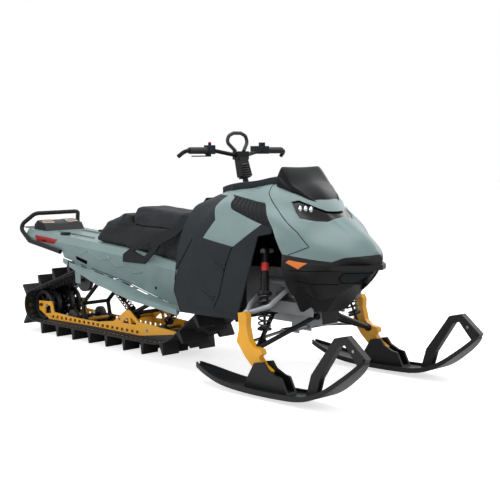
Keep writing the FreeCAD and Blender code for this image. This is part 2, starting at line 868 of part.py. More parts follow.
# along, then the height beside the tunnel and at the outer edge
BOARD_LINE_SHARES = [
    (0.252, 0.752, 0.755), (0.604, 0.611, 0.620), (0.750, 0.520, 0.553), (0.830, 0.475, 0.535),
    (0.975, 0.455, 0.493),
]
BOARD_EDGE_SHARES = [(0.252, 0.08), (0.300, 0.20), (0.560, 0.88), (0.750, 0.97), (0.975, 1.00)]


def board_band(name, depth):
    """Return the board's bent and outward rising sheet as a band of one depth, on the right side."""
    wires = []
    for half, column in ((S.tunnel_half, 1), (S.board_half, 2)):
        line = [(share[0], share[column]) for share in BOARD_LINE_SHARES]
        rim = tunnel_line(line, ZERO) + tunnel_line(line, depth)[::-1]
        corners = [at(x, -half, z) for x, z in rim]
        wires.append(Part.makePolygon(corners + corners[:1]))
    return shaped(name, Part.makeLoft(wires, True, True))


def board_edge(inset):
    """Return the board's outer edge seen from above, on the right side."""
    span = S.board_half - S.tunnel_half - inset
    return [(S.tunnel_x + S.tunnel_length * along, -S.tunnel_half - span * out)
            for along, out in BOARD_EDGE_SHARES]


def make_running_boards():
    """Make the running boards: a bent sheet with slots and a deep outer beam."""
    start = -S.cut_overrun
    height = S.tunnel_top_z + S.cut_overrun * 2
    edge = board_edge(ZERO)
    inner_end = (edge[-1][0], -S.tunnel_half)
    shape = floor_plate("board_shape", edge + [inner_end], height, start)
    strip = floor_plate("board_strip", edge + board_edge(S.board_beam_width)[::-1], height, start)
    sheet = common("board_sheet", board_band("board_band", S.board_thickness), shape)
    beam = common("board_beam", board_band("beam_band", S.board_beam_depth), strip)
    board = fuse("board_right_whole", [sheet, beam])
    slots = []
    for index in range(6):
        x = S.board_slot_x + S.board_slot_pitch * index
        slots.append(block(f"board_slot_{index}", (x, -S.tunnel_half - S.board_slot_width * 1.6, ZERO),
                           (S.board_slot_length, S.board_slot_width, S.tunnel_top_z)))
    right = cut("board_right", board, group("board_slots", slots))
    keep("running_boards", group("running_boards", [right, mirrored("board_left", right)]))


def make_rear_bumper():
    """Make the tube hoop round the back of the tunnel."""
    out = S.tunnel_half + S.bumper_tube_radius + S.touch_gap
    rear = S.tunnel_x
    z = S.tunnel_top_z
    half = [
        at(rear + S.tunnel_length * 0.236, -out, z * 0.806),
        at(rear + S.tunnel_length * 0.040, -out, z * 0.880),
        at(rear - S.tunnel_length * 0.024, -out * 1.01, z * 1.010),
        at(rear + S.tunnel_length * 0.030, -out * 0.74, z * 1.135),
    ]
    points = half + [FreeCAD.Vector(point.x, -point.y, point.z) for point in reversed(half)]
    keep("rear_bumper", shaped("rear_bumper", bent_tube(points, S.bumper_tube_radius, S.bumper_bend)))


LAMP_HOUSING_SHARES = [(0.0, 0.0), (1.0, -0.097), (0.80, 0.34), (0.25, 0.56), (0.02, 0.30)]
FLAP_SHARES = [(1.0, -0.0647), (0.680, -0.044), (0.0, 0.020), (0.0, -0.002), (0.680, -0.066), (1.0, -0.0867)]


def raised_strip(first, second, low, high):
    """Return the corners of a strip that lies on the line between two points, from low to high above it."""
    along = (second - first).normalize()
    outward = FreeCAD.Vector(-along.z, 0, along.x)
    start = first + (second - first) * 0.08
    stop = second - (second - first) * 0.08
    corners = [start + outward * low, start + outward * high, stop + outward * high, stop + outward * low]
    return [(corner.x, corner.z) for corner in corners]


def make_tail():
    """Make the tail lamp housing, its lenses and the snow flap."""
    rear = S.tunnel_x + S.tunnel_length * 0.004
    half = S.lamp_width / 2
    low = tunnel_top_at(0.004) + S.touch_gap * 2
    points = outline((rear, low), (S.lamp_width / 2, S.lamp_width / 3), LAMP_HOUSING_SHARES)
    keep("tail_housing", side_plate("lamp_housing", points, S.lamp_width, half))
    face = [at(points[index][0], ZERO, points[index][1]) for index in (4, 3)]
    lens = side_plate("tail_lens", raised_strip(*face, float(S.touch_gap), float(S.lens_thickness)),
                      S.lamp_width / 3, half - S.lamp_width * 0.03)
    keep("tail_lenses", group("tail_lenses", [lens, mirrored("tail_lens_left", lens)]))
    under = tunnel_top_at(0.0) - S.sheet_thickness - S.touch_gap
    span = S.flap_length
    points = outline((S.tunnel_x - span * 0.68, under + span * 0.044), (span, span), FLAP_SHARES)
    keep("snow_flap", side_plate("flap", points, S.flap_half * 2, S.flap_half))


def tunnel_top_at(x_share):
    """Return the height of the tunnel's top at a share of its length."""
    for here, after in zip(TUNNEL_TOP_SHARES, TUNNEL_TOP_SHARES[1:]):
        if x_share <= after[0]:
            portion = (x_share - here[0]) / (after[0] - here[0])
            return S.tunnel_top_z * (here[1] + (after[1] - here[1]) * portion)
    return S.tunnel_top_z * TUNNEL_TOP_SHARES[-1][1]


def make_cargo_anchors():
    """Make the two bored anchor pads on top of the tunnel."""
    share = (float(S.anchor_x) - float(S.tunnel_x)) / float(S.tunnel_length)
    z = tunnel_top_at(share)
    items = []
    for side, sign in SIDES.items():
        y = S.anchor_y * sign
        pad = upright(f"anchor_pad_{side}", S.anchor_x, y, z - S.anchor_radius, S.anchor_radius,
                      S.anchor_height + S.anchor_radius)
        bore = upright(f"anchor_bore_{side}", S.anchor_x, y, z - S.anchor_radius * 1.5, S.anchor_bore_radius,
                       S.anchor_height + S.anchor_radius * 3)
        items.append(cut(f"anchor_{side}", pad, bore))
    block_top = side_plate("anchor_floor", tunnel_line([*TUNNEL_TOP_SHARES, (1.0, 0.2), (0.0, 0.2)], ZERO),
                           S.tunnel_half * 2, S.tunnel_half)
    keep("cargo_anchors", cut("cargo_anchors", group("anchor_pair", items), block_top))


SEAT_BASE_SHARES = [
    (0.006, 0.746), (0.012, 0.782), (0.105, 0.880), (0.300, 0.944), (0.412, 0.936), (0.415, 0.866),
    (0.985, 0.848),
]
SEAT_FOOT_SHARES = (0.995, 0.006)
BENCH_SHARES = [(0.418, 0.8663), (0.420, 0.962), (0.450, 0.994), (0.972, 0.958), (0.980, 0.8486)]
TANK_SHARES = [(0.990, 0.852), (0.988, 0.940), (1.110, 0.968), (1.215, 1.042), (1.250, 1.078)]
TANK_FOOT_SHARES = (1.250, 1.000)


def tapered(name, side_view, half_low, half_top, z_low, z_top):
    """Return a solid of a side view whose sides lean in from a low to a top width."""
    side = side_plate(f"{name}_side", side_view, half_low * 2, half_low)
    section = [(-half_low, z_low), (half_low, z_low), (half_top, z_top), (-half_top, z_top)]
    ends = end_plate(f"{name}_section", section, S.seat_length * 2.5, S.seat_x - S.cut_overrun)
    return common(f"{name}_tapered", side, ends)


def footed(shares, foot_shares):
    """Return a seat outline that is carried down into the tunnel at the feet."""
    points = outline((S.seat_x, ZERO), (S.seat_length, S.seat_height), shares)
    return points + [(S.seat_x + S.seat_length * along, S.tunnel_top_z * 0.6) for along in foot_shares]


def make_seat():
    """Make the seat's bench, its lower pad and the black cover in front of it."""
    origin = (S.seat_x, ZERO)
    spans = (S.seat_length, S.seat_height)
    floor = side_plate("seat_floor", tunnel_line([*TUNNEL_TOP_SHARES, (1.1, 0.76), (1.1, 0.1), (0.0, 0.1)],
                                                 -S.touch_gap), S.tunnel_half * 4, S.tunnel_half * 2)
    low = S.tunnel_top_z * 0.77
    base = tapered("seat_base", footed(SEAT_BASE_SHARES, SEAT_FOOT_SHARES), S.seat_half, S.bench_half * 0.86,
                   low, S.seat_height)
    keep("seat_base", cut("seat_base", base, floor))
    bench = tapered("bench", outline(origin, spans, BENCH_SHARES), S.bench_half, S.bench_half * 0.82,
                    S.seat_height * 0.84, S.seat_height * 1.02)
    keep("seat", bench)
    tank = tapered("tank", footed(TANK_SHARES, TANK_FOOT_SHARES), S.tank_half, S.tank_half * 0.7,
                   low, S.seat_height * 1.1)
    keep("tank_cover", cut("tank_cover", tank, floor))


COWL_FLOOR_SHARE = 0.70
COWL_STATIONS = [
    # along, then (half width, height) from the middle of the top down to the foot
    (0.020, (0.000, 0.945), (0.300, 0.925), (0.575, 0.880), (0.825, 0.740), (0.960, 0.520), (0.964, 0.400),
     (0.965, 0.300)),
    (0.155, (0.000, 0.985), (0.290, 0.972), (0.600, 0.905), (0.840, 0.740), (0.975, 0.450), (0.983, 0.375),
     (0.985, 0.300)),
    (0.305, (0.000, 1.000), (0.330, 0.990), (0.605, 0.945), (0.815, 0.830), (0.985, 0.450), (0.995, 0.375),
     (1.000, 0.300)),
    (0.455, (0.000, 1.014), (0.365, 1.008), (0.630, 0.935), (0.815, 0.820), (0.980, 0.450), (0.984, 0.375),
     (0.985, 0.300)),
    (0.595, (0.000, 1.026), (0.390, 1.014), (0.655, 0.920), (0.812, 0.800), (0.925, 0.450), (0.929, 0.375),
     (0.930, 0.300)),
    (0.755, (0.000, 0.965), (0.320, 0.948), (0.500, 0.890), (0.715, 0.800), (0.755, 0.680), (0.740, 0.586),
     (0.520, 0.475)),
    (0.855, (0.000, 0.890), (0.170, 0.880), (0.300, 0.842), (0.600, 0.756), (0.655, 0.660), (0.640, 0.592),
     (0.420, 0.454)),
    (0.925, (0.000, 0.842), (0.140, 0.832), (0.245, 0.799), (0.505, 0.727), (0.560, 0.652), (0.540, 0.602),
     (0.250, 0.468)),
    (0.995, (0.000, 0.796), (0.110, 0.788), (0.205, 0.765), (0.390, 0.700), (0.405, 0.642), (0.375, 0.608),
     (0.180, 0.510)),
    (1.055, (0.000, 0.755), (0.075, 0.750), (0.140, 0.733), (0.275, 0.680), (0.255, 0.634), (0.235, 0.612),
     (0.100, 0.552)),
    (1.110, (0.000, 0.690), (0.040, 0.688), (0.075, 0.677), (0.118, 0.656), (0.110, 0.628), (0.102, 0.615),
     (0.035, 0.598)),
]


def cowl_section(station, inset):
    """Return the closed section of the cowl at one station, moved inwards by an inset."""
    along, *shares = station
    corners = [(-float(S.cowl_half) * out, float(S.cowl_height) * up) for out, up in shares]
    corners = offset_inwards(corners, float(inset))
    foot_drop = -inset if along > COWL_FLOOR_SHARE else inset * 3
    corners[-1] = (corners[-1][0], corners[-1][1] - foot_drop)
    x = float(S.cowl_x + S.cowl_length * along)
    right = [FreeCAD.Vector(x, y, z) for y, z in corners]
    left = [FreeCAD.Vector(x, -y, z) for y, z in reversed(corners[1:])]
    return Part.makePolygon(right + left + right[:1])


def offset_inwards(corners, inset):
    """Return an open half section moved square to its edges; a negative inset grows it."""
    moved = []
    for index, (y, z) in enumerate(corners):
        before = corners[max(index - 1, 0)]
        after = corners[min(index + 1, len(corners) - 1)]
        dy, dz = after[0] - before[0], after[1] - before[1]
        reach = math.hypot(dy, dz)
        if index == 0:
            moved.append((0.0, z - inset))
            continue
        moved.append((min(y - dz / reach * inset, -float(S.touch_gap)), z + dy / reach * inset))
    return moved


def cowl_solid(inset, first=0, last=None):
    """Return the solid of the cowl, moved inwards by an inset, between two stations."""
    stations = COWL_STATIONS[first:last]
    return Part.makeLoft([cowl_section(station, float(inset)) for station in stations], True, True)


def cowl_prism(shares, half):
    """Return a side-view outline of the cowl as a solid across its whole width."""
    corners = [at(x, -half, z) for x, z in outline((S.cowl_x, ZERO), (S.cowl_length, S.cowl_height), shares)]
    return Part.Face(Part.makePolygon(corners + corners[:1])).extrude(at(ZERO, half * 2, ZERO))


# The seams run between these corners, so that neighbouring panels meet edge to edge.
KNEE_TOP_SHARES = [(0.086, 0.961)]
KNEE_SEAM_SHARES = [(0.278, 0.958), (0.2675, 0.9025), (0.301, 0.8365), (0.221, 0.7385)]
INSERT_TOP_SHARES = [(0.311, 0.965)]
VENT_SEAM_SHARES = [(0.3515, 0.9505), (0.412, 0.8915), (0.631, 0.8245)]
VENT_TOP_SHARES = [(0.696, 0.810), (0.595, 0.928)]
INSERT_FOOT_SHARES = [(0.4555, 0.7045)]
PANEL_SEAM_SHARES = [(0.148, 0.7205), (0.046, 0.5585)]
NOSE_SEAM_SHARES = [(1.180, 0.687), (1.023, 0.668), (0.976, 0.647), (0.756, 0.681)]
HOOD_SHARES = [
    *KNEE_TOP_SHARES, (0.086, 1.250), (1.180, 1.250), *NOSE_SEAM_SHARES,
    *VENT_TOP_SHARES, *INSERT_TOP_SHARES, KNEE_SEAM_SHARES[0],
]
FASCIA_SHARES = [*NOSE_SEAM_SHARES, (0.736, 0.300), (1.180, 0.300)]
VENT_SHARES = [*INSERT_TOP_SHARES, *VENT_SEAM_SHARES, *VENT_TOP_SHARES]
INSERT_SHARES = [
    *INSERT_TOP_SHARES, *VENT_SEAM_SHARES, *INSERT_FOOT_SHARES, *KNEE_SEAM_SHARES[::-1],
]
KNEE_SHARES = [
    (0.030, 1.000), (0.086, 1.000), *KNEE_TOP_SHARES, *KNEE_SEAM_SHARES, *PANEL_SEAM_SHARES, (0.030, 0.5585),
]
SIDE_PANEL_SHARES = [
    *PANEL_SEAM_SHARES[::-1], KNEE_SEAM_SHARES[3], *INSERT_FOOT_SHARES, VENT_SEAM_SHARES[2],
    VENT_TOP_SHARES[0], (0.691, 0.780), (0.615, 0.765), (0.524, 0.340), (0.075, 0.333), (0.025, 0.447),
]
CONSOLE_SHARES = [
    (0.086, 0.00), (0.086, 0.19), (0.180, 0.26), (0.217, 0.31), (0.600, 0.36), (0.640, 0.00),
]
LAMP_SHARES = [
    (0.712, 0.935), (0.752, 0.883), (0.782, 0.855), (0.835, 0.839), (0.873, 0.835), (0.888, 0.860),
    (0.848, 0.887), (0.783, 0.922), (0.739, 0.942),
]
LAMP_MIDDLE_SHARE = (0.81, 0.87)
LAMP_RIM_SHARE = 0.012


def console_prism(grow):
    """Return the console's outline from above, grown on every side, as an upright solid."""
    edge = []
    for index, (along, out) in enumerate(CONSOLE_SHARES):
        ahead = grow if index > 3 else -grow if index < 2 else ZERO
        side = grow if out else ZERO
        edge.append((S.cowl_x + S.cowl_length * along + ahead, S.cowl_half * out + side))
    low = S.cowl_height * 0.85
    corners = [at(x, -y, low) for x, y in edge] + [at(x, y, low) for x, y in reversed(edge)]
    return Part.Face(Part.makePolygon(corners + corners[:1])).extrude(at(ZERO, ZERO, S.cowl_height / 2))


def console_lid():
    """Return the console: a hollow lid proud of the cowl, with its rim down to the skin's inside."""
    lid = cowl_solid(-S.console_rise).common(console_prism(ZERO))
    hollow = cowl_solid(S.cowl_wall - S.console_rise).common(console_prism(-S.cowl_wall))
    return lid.cut([hollow, cowl_solid(S.cowl_wall)])


def make_cowl():
    """Make the panels that are cut out of the cowl's one thin skin."""
    outer = cowl_solid(0)
    inner = cowl_solid(S.cowl_wall, 0, -1)
    skin = outer.cut(inner)
    half = S.cowl_half * 1.2
    opening = console_prism(ZERO)
    boot = Part.makeCylinder(float(S.boot_radius), float(S.cowl_height), post_ends()[0],
                             post_ends()[1] - post_ends()[0])
    keep("console", shaped("console", console_lid().cut(boot)))
    lamp = cowl_prism(LAMP_SHARES, half)
    hood = skin.common(cowl_prism(HOOD_SHARES, half)).cut([console_prism(S.touch_gap), lamp])
    keep("hood", shaped("hood", hood))
    chin = Part.makeBox(float(S.chin_length), float(S.chin_half * 2), float(S.cowl_height / 5),
                        at(S.chin_x, -S.chin_half, S.chin_z))
    fascia = skin.common(cowl_prism(FASCIA_SHARES, half)).fuse(chin.cut(outer))
    keep("front_fascia", shaped("front_fascia", fascia))
    for label, shares in (("side_vents", VENT_SHARES), ("side_inserts", INSERT_SHARES),
                          ("knee_panels", KNEE_SHARES), ("side_panels", SIDE_PANEL_SHARES)):
        panel = skin.common(cowl_prism(shares, half)).cut(opening)
        keep(label, shaped(label, panel))
    under = cowl_solid(S.cowl_wall + S.touch_gap, 4, -1)
    deep = cowl_solid(S.cowl_wall + S.lamp_depth, 4, -1)
    middle, level = LAMP_MIDDLE_SHARE
    grown = [(along + math.copysign(LAMP_RIM_SHARE, along - middle),
              up + math.copysign(LAMP_RIM_SHARE, up - level)) for along, up in LAMP_SHARES]
    pod = under.cut(deep).common(cowl_prism(grown, half))
    keep("headlamps", shaped("headlamps", pod))
    return outer


def post_ends():
    """Return the foot and the head of the steering post's axis."""
    return at(S.post_foot_x, ZERO, S.post_foot_z), at(S.post_head_x, ZERO, S.post_head_z)


WINDSHIELD_STATIONS = [
    (0.590, (0.000, 1.098), (0.300, 1.092), (0.400, 1.045)),
    (0.616, (0.000, 1.100), (0.305, 1.095), (0.405, 1.042)),
    (0.670, (0.000, 1.045), (0.315, 1.030), (0.390, 1.000)),
    (0.713, (0.000, 1.016), (0.290, 0.999), (0.350, 0.974)),
    (0.771, (0.000, 0.968), (0.210, 0.955), (0.270, 0.940)),
    (0.812, (0.000, 0.905), (0.110, 0.900), (0.135, 0.896)),
]


def make_windshield(outer):
    """Make the dark cowl that stands on the hood in front of the gauge."""
    shells = []
    for inset in (0, float(S.cowl_wall)):
        sections = []
        for along, *shares in WINDSHIELD_STATIONS:
            x = float(S.cowl_x + S.cowl_length * along)
            corners = [(-float(S.cowl_half) * out, float(S.cowl_height) * up) for out, up in shares]
            corners.append((corners[-1][0], float(S.cowl_height) * 0.8))
            corners = offset_inwards(corners, inset)
            right = [FreeCAD.Vector(x, y, z) for y, z in corners]
            left = [FreeCAD.Vector(x, -y, z) for y, z in reversed(corners[1:])]
            sections.append(Part.makePolygon(right + left + right[:1]))
        shells.append(Part.makeLoft(sections, True, True))
    glass = shells[0].cut([shells[1], outer])
    largest = max(glass.Solids, key=lambda solid: solid.Volume)
    keep("windshield", shaped("windshield", largest))


SPOILER_SHARES = [
    (0.930, 0.50), (1.035, 0.37), (1.108, 0.19), (1.147, 0.00), (1.095, 0.00), (1.045, 0.14), (0.930, 0.34),
]
REFLECTOR_SHARES = [(0.777, 0.641), (0.792, 0.653), (0.881, 0.640), (0.832, 0.609)]


def make_nose_trim(outer):
    """Make the spoiler lip under the hood's edge and the amber side reflectors."""
    edge = [(S.cowl_x + S.cowl_length * along, S.cowl_half * out) for along, out in SPOILER_SHARES]
    half = edge[:4]
    back = edge[4:]
    loop = half + [(x, -y) for x, y in reversed(half[:3])]
    loop += [(x, -y) for x, y in reversed(back[1:])] + [back[0]] + back[1:]
    lip = floor_plate("spoiler_blank", loop, S.spoiler_thickness, S.spoiler_z)
    lip = cut("spoiler", lip, shaped("nose_solid", outer))
    keep("front_bumper", lip)
    skin = cowl_solid(-S.reflector_thickness, 4).cut(outer)
    amber = skin.common(cowl_prism(REFLECTOR_SHARES, S.cowl_half * 1.2))
    keep("reflectors", shaped("reflectors", amber))


BULKHEAD_SHARES = [
    (0.00, 0.13), (0.94, 0.13), (0.95, 0.22), (0.57, 0.55), (0.50, 0.97), (0.30, 0.97), (0.10, 0.50),
]
BULKHEAD_WINDOW_SHARES = [(0.26, 0.28), (0.66, 0.28), (0.50, 0.46), (0.26, 0.46)]


def make_bulkhead():
    """Make the cast front frame that carries the ski arms, the shocks and the rack."""
    origin = (S.bulkhead_x, S.bulkhead_z)
    spans = (S.bulkhead_length, S.bulkhead_height)
    points = outline(origin, spans, BULKHEAD_SHARES)
    window = outline(origin, spans, BULKHEAD_WINDOW_SHARES)
    wall = S.bulkhead_thickness
    items = [
        side_plate("bulkhead_right", points, wall, -S.bulkhead_half, holes=[window]),
        side_plate("bulkhead_left", points, wall, S.bulkhead_half + wall, holes=[window]),
    ]
    floor_z = S.bulkhead_z + S.bulkhead_height * 0.21
    items.append(block("bulkhead_floor", (S.bulkhead_x, -S.bulkhead_half - wall, floor_z),
                       (S.bulkhead_length * 0.9, S.bulkhead_half * 2 + wall * 2, wall)))
    keel_half = S.lower_mount_y - S.arm_boss_radius - S.touch_gap
    items.append(block("bulkhead_keel", (S.bulkhead_x, -keel_half, S.bulkhead_z),
                       (S.bulkhead_length * 0.96, keel_half * 2, floor_z - S.bulkhead_z + wall)))
    bar = disc("shock_bar", S.shock_top_x, -S.shock_top_y - S.shock_radius, S.shock_top_z,
               S.cross_tube_radius, S.shock_top_y * 2 + S.shock_radius * 2)
    items.append(bar)
    guide_low = S.rack_z - S.rack_radius * 1.6
    guides = []
    for side, sign in SIDES.items():
        low = S.rack_guide_y if sign > 0 else -S.rack_guide_y - wall
        guides.append(block(f"rack_guide_{side}", (S.rack_x - S.rack_radius * 1.7, low, guide_low),
                            (S.rack_radius * 3.4, wall, S.bulkhead_z - guide_low + wall)))
    whole = fuse("bulkhead_whole", items + guides)
    bore = disc("rack_bore", S.rack_x, -S.rack_half, S.rack_z, S.rack_radius + S.touch_gap, S.rack_half * 2)
    return keep("bulkhead", cut("bulkhead", whole, bore))


def along_x(name, x, y, z, radius, length):
    """Return a cylinder along X that starts at x."""
    item = DOC.addObject("Part::Cylinder", name)
    item.Placement.Rotation = FreeCAD.Rotation(FreeCAD.Vector(0, 1, 0), 90)
    bind(item, Radius=radius, Height=length)
    return move_to(item, x, y, z)


def make_ski_arms():
    """Make the lower and upper arms that carry the skis."""
    ball_point = at(S.lower_ball_x, -S.lower_ball_y, S.lower_ball_z)
    boss = S.arm_tube_radius * 3
    items = [ball("lower_socket", ball_point, S.ball_radius)]
    for name, x in (("front", S.lower_front_x), ("rear", S.lower_rear_x)):
        mount = at(x, -S.lower_mount_y, S.lower_mount_z)
        items.append(rod(f"lower_leg_{name}", ball_point, mount, S.arm_tube_radius))
        items.append(along_x(f"lower_boss_{name}", x - boss / 2, -S.lower_mount_y, S.lower_mount_z,
                             S.arm_boss_radius, boss))
    rail = shock_rail()
    items.append(rod("shock_rail", *rail, S.shock_rod_radius))
    lower = fuse("lower_arm_right", items)
    keep("lower_arms", group("lower_arms", [lower, mirrored("lower_arm_left", lower)]))
    ball_point = at(S.upper_ball_x, -S.upper_ball_y, S.upper_ball_z)
    items = [ball("upper_socket", ball_point, S.ball_radius)]
    for name, x, knee_x in (("front", S.upper_front_x, S.upper_knee_front_x),
                            ("rear", S.upper_rear_x, S.upper_knee_rear_x)):
        path = [ball_point, at(knee_x, -S.upper_knee_y, S.upper_knee_z),
                at(x, -S.upper_mount_y, S.upper_mount_z)]
        items.append(shaped(f"upper_leg_{name}", bent_tube(path, S.arm_tube_radius, S.upper_arm_bend)))
    items.append(along_x("upper_pivot", S.upper_rear_x - boss / 2, -S.upper_mount_y, S.upper_mount_z,
                         S.arm_boss_radius, S.upper_front_x - S.upper_rear_x + boss))
    upper = fuse("upper_arm_right", items)
    keep("upper_arms", group("upper_arms", [upper, mirrored("upper_arm_left", upper)]))


def shock_rail():
    """Return the ends of the bar between the lower arm's legs that holds the shock."""
    foot = at(S.lower_ball_x, -S.lower_ball_y, S.lower_ball_z)
    share = 0.18
    ends = []
    for x in (S.lower_rear_x, S.lower_front_x):
        mount = at(x, -S.lower_mount_y, S.lower_mount_z)
        ends.append(foot + (mount - foot) * share)
    return ends


def make_front_shocks():
    """Make the ski shocks and their springs."""
    rear, front = shock_rail()
    foot = (rear + front) / 2
    top = at(S.shock_top_x, -S.shock_top_y, S.shock_top_z)
    axis = foot - top
    eye_length = S.shock_radius * 1.1
    top_eye = disc("shock_eye_top", S.shock_top_x, -S.shock_top_y - eye_length / 2, S.shock_top_z,
                   S.shock_radius * 1.15, eye_length)
    half_eye = (front - rear).normalize() * float(S.shock_foot_eye) / 2
    foot_eye = rod("shock_eye_foot", foot - half_eye, foot + half_eye, S.shock_rod_radius * 2)
    body = rod("shock_body", top, top + axis * 0.58, S.shock_radius)
    shaft = rod("shock_shaft", top + axis * 0.5, foot, S.shock_rod_radius)
    seat = rod("spring_foot", top + axis * 0.85, top + axis * 0.87, S.spring_radius)
    collar = rod("spring_head", top + axis * 0.46, top + axis * 0.49, S.spring_radius)
    whole = fuse("shock_whole", [top_eye, foot_eye, body, shaft, seat, collar])
    bores = fuse("shock_bores", [
        disc("shock_bore_top", S.shock_top_x, -S.shock_top_y - eye_length, S.shock_top_z,
             S.cross_tube_radius + S.touch_gap, eye_length * 2),
        rod("shock_bore_foot", foot - half_eye * 3, foot + half_eye * 3, S.shock_rod_radius + S.touch_gap),
    ])
    right = cut("shock_right", whole, bores)
    keep("front_shocks", group("front_shocks", [right, mirrored("shock_left", right)]))
    sleeve = rod("spring_outer", top + axis * 0.49, top + axis * 0.85, S.spring_radius)
    hollow = rod("spring_inner", top + axis * 0.45, top + axis * 0.95,
                 S.spring_radius - S.spring_wire_radius * 2)
    spring = cut("spring_right", sleeve, hollow)
    keep("front_springs", group("front_springs", [spring, mirrored("spring_left", spring)]))


SPINDLE_SHARES = [
    (0.050, 0.966), (0.250, 0.993), (0.310, 0.910), (0.300, 0.752), (0.375, 0.517), (0.500, 0.420),
    (0.717, 0.393), (0.750, 0.320), (0.650, 0.262), (0.790, 0.131), (0.983, 0.048), (0.967, 0.014),
    (0.667, 0.007), (0.492, 0.055), (0.250, 0.228), (0.092, 0.393), (0.008, 0.462), (0.025, 0.531),
    (0.075, 0.683),
]


def arm_sweep():
    """Return the room that the upper arm's legs need in the right spindle as it steers to each lock."""
    centre = at(S.upper_ball_x, -S.upper_ball_y, S.upper_ball_z)
    kingpin = centre - at(S.lower_ball_x, -S.lower_ball_y, S.lower_ball_z)
    reach = float(S.ball_radius) * 3
    rods = []
    for knee_x in (S.upper_knee_front_x, S.upper_knee_rear_x):
        leg = (at(knee_x, -S.upper_knee_y, S.upper_knee_z) - centre).normalize()
        for angle in (-STEER_LOCK_DEGREES, 0.0, STEER_LOCK_DEGREES):
            turned = FreeCAD.Rotation(kingpin, angle).multVec(leg)
            rods.append(Part.makeCylinder(float(S.arm_tube_radius + S.tie_clearance), reach, centre, turned))
    return rods[0].fuse(rods[1:])


def make_spindles():
    """Make the two spindles, each with its ball seats, steering lug and ski bore."""
    start = -S.spindle_y + S.spindle_thickness / 2
    points = outline((S.spindle_x, S.spindle_z), (S.spindle_length, S.spindle_height), SPINDLE_SHARES)
    leg = side_plate("spindle_leg", points, S.spindle_thickness, start)
    lug_x = S.lower_ball_x - S.steer_arm - S.lug_plate / 2
    lug = block("steer_lug", (lug_x, start - S.spindle_thickness * 0.6, S.steer_lug_z),
                (S.lug_plate, S.spindle_y - S.tie_rod_y + S.lug_plate * 0.5, S.lug_plate * 0.3))
    whole = fuse("spindle_whole", [leg, lug])
    room = S.ball_radius + S.touch_gap
    lower = ball("lower_seat", at(S.lower_ball_x, -S.lower_ball_y, S.lower_ball_z), room)
    upper = ball("upper_seat", at(S.upper_ball_x, -S.upper_ball_y, S.upper_ball_z), room)
    bore = disc("ski_bolt_bore", S.ski_bolt_x, -S.spindle_y - S.spindle_thickness, S.ski_bolt_z,
                S.ski_bolt_radius + S.touch_gap, S.spindle_thickness * 2)
    hollows = fuse("spindle_hollows", [lower, upper, bore, shaped("arm_sweep", arm_sweep())])
    right = cut("spindle_right", whole, hollows)
    keep("spindle_right", right)
    keep("spindle_left", mirrored("spindle_left", right))


SKI_FOOT_SHARES = [
    (0.000, 0.304), (0.073, 0.232), (0.207, 0.120), (0.323, 0.080), (0.608, 0.080), (0.724, 0.136),
    (0.813, 0.288), (0.902, 0.560), (0.973, 0.828), (1.000, 0.960),
]
SKI_PLAN_SHARES = [
    (0.000, 0.21), (0.055, 0.46), (0.207, 0.86), (0.385, 1.00), (0.650, 1.00), (0.804, 0.90),
    (0.911, 0.70), (0.973, 0.46), (1.000, 0.26),
]
LOOP_SHARES = [
    (0.686, 0.13), (0.718, 0.60), (0.797, 1.07), (0.845, 1.36), (0.911, 1.43), (1.011, 1.06),
    (1.000, 0.985), (0.984, 0.925), (0.966, 0.92), (0.900, 1.26), (0.868, 1.22), (0.827, 0.95),
    (0.768, 0.56), (0.743, 0.19),
]
SADDLE_SHARES = [
    (0.330, 0.100), (0.350, 0.300), (0.398, 0.640), (0.456, 0.690), (0.480, 0.560), (0.530, 0.460),
    (0.560, 0.440), (0.600, 0.100),
]


def ski_points(shares, lift):
    """Return ski outline points from above or the side, as coordinate pairs."""
    length = S.ski_front + S.ski_rear
    return [(S.ski_bolt_x - S.ski_rear + length * along, S.ski_height * up + lift) for along, up in shares]


def smooth_edge(points):
    """Return a smooth edge through points."""
    curve = Part.BSplineCurve()
    curve.interpolate(points)
    return curve.toShape()


def ski_band(depth, half):
    """Return the ski's side-view band of one depth as a solid to both sides."""
    low = [at(x, -half, z) for x, z in ski_points(SKI_FOOT_SHARES, ZERO)]
    high = [at(x, -half, z) for x, z in ski_points(SKI_FOOT_SHARES, depth)]
    edges = [smooth_edge(low), Part.LineSegment(low[-1], high[-1]).toShape(), smooth_edge(high[::-1]),
             Part.LineSegment(high[0], low[0]).toShape()]
    return Part.Face(Part.Wire(edges)).extrude(at(ZERO, half * 2, ZERO))


def ski_plan(inset):
    """Return the ski's outline from above as a tall solid."""
    length = S.ski_front + S.ski_rear
    low = -float(S.ski_height)
    right = []
    for along, out in SKI_PLAN_SHARES:
        x = float(S.ski_bolt_x - S.ski_rear + length * along)
        right.append(FreeCAD.Vector(x, -(float(S.ski_half) * out - inset), low))
    left = [FreeCAD.Vector(point.x, -point.y, point.z) for point in reversed(right)]
    edges = [smooth_edge(right), Part.LineSegment(right[-1], left[0]).toShape(), smooth_edge(left),
             Part.LineSegment(left[-1], right[0]).toShape()]
    return Part.Face(Part.Wire(edges)).extrude(at(ZERO, ZERO, S.ski_height * 3))


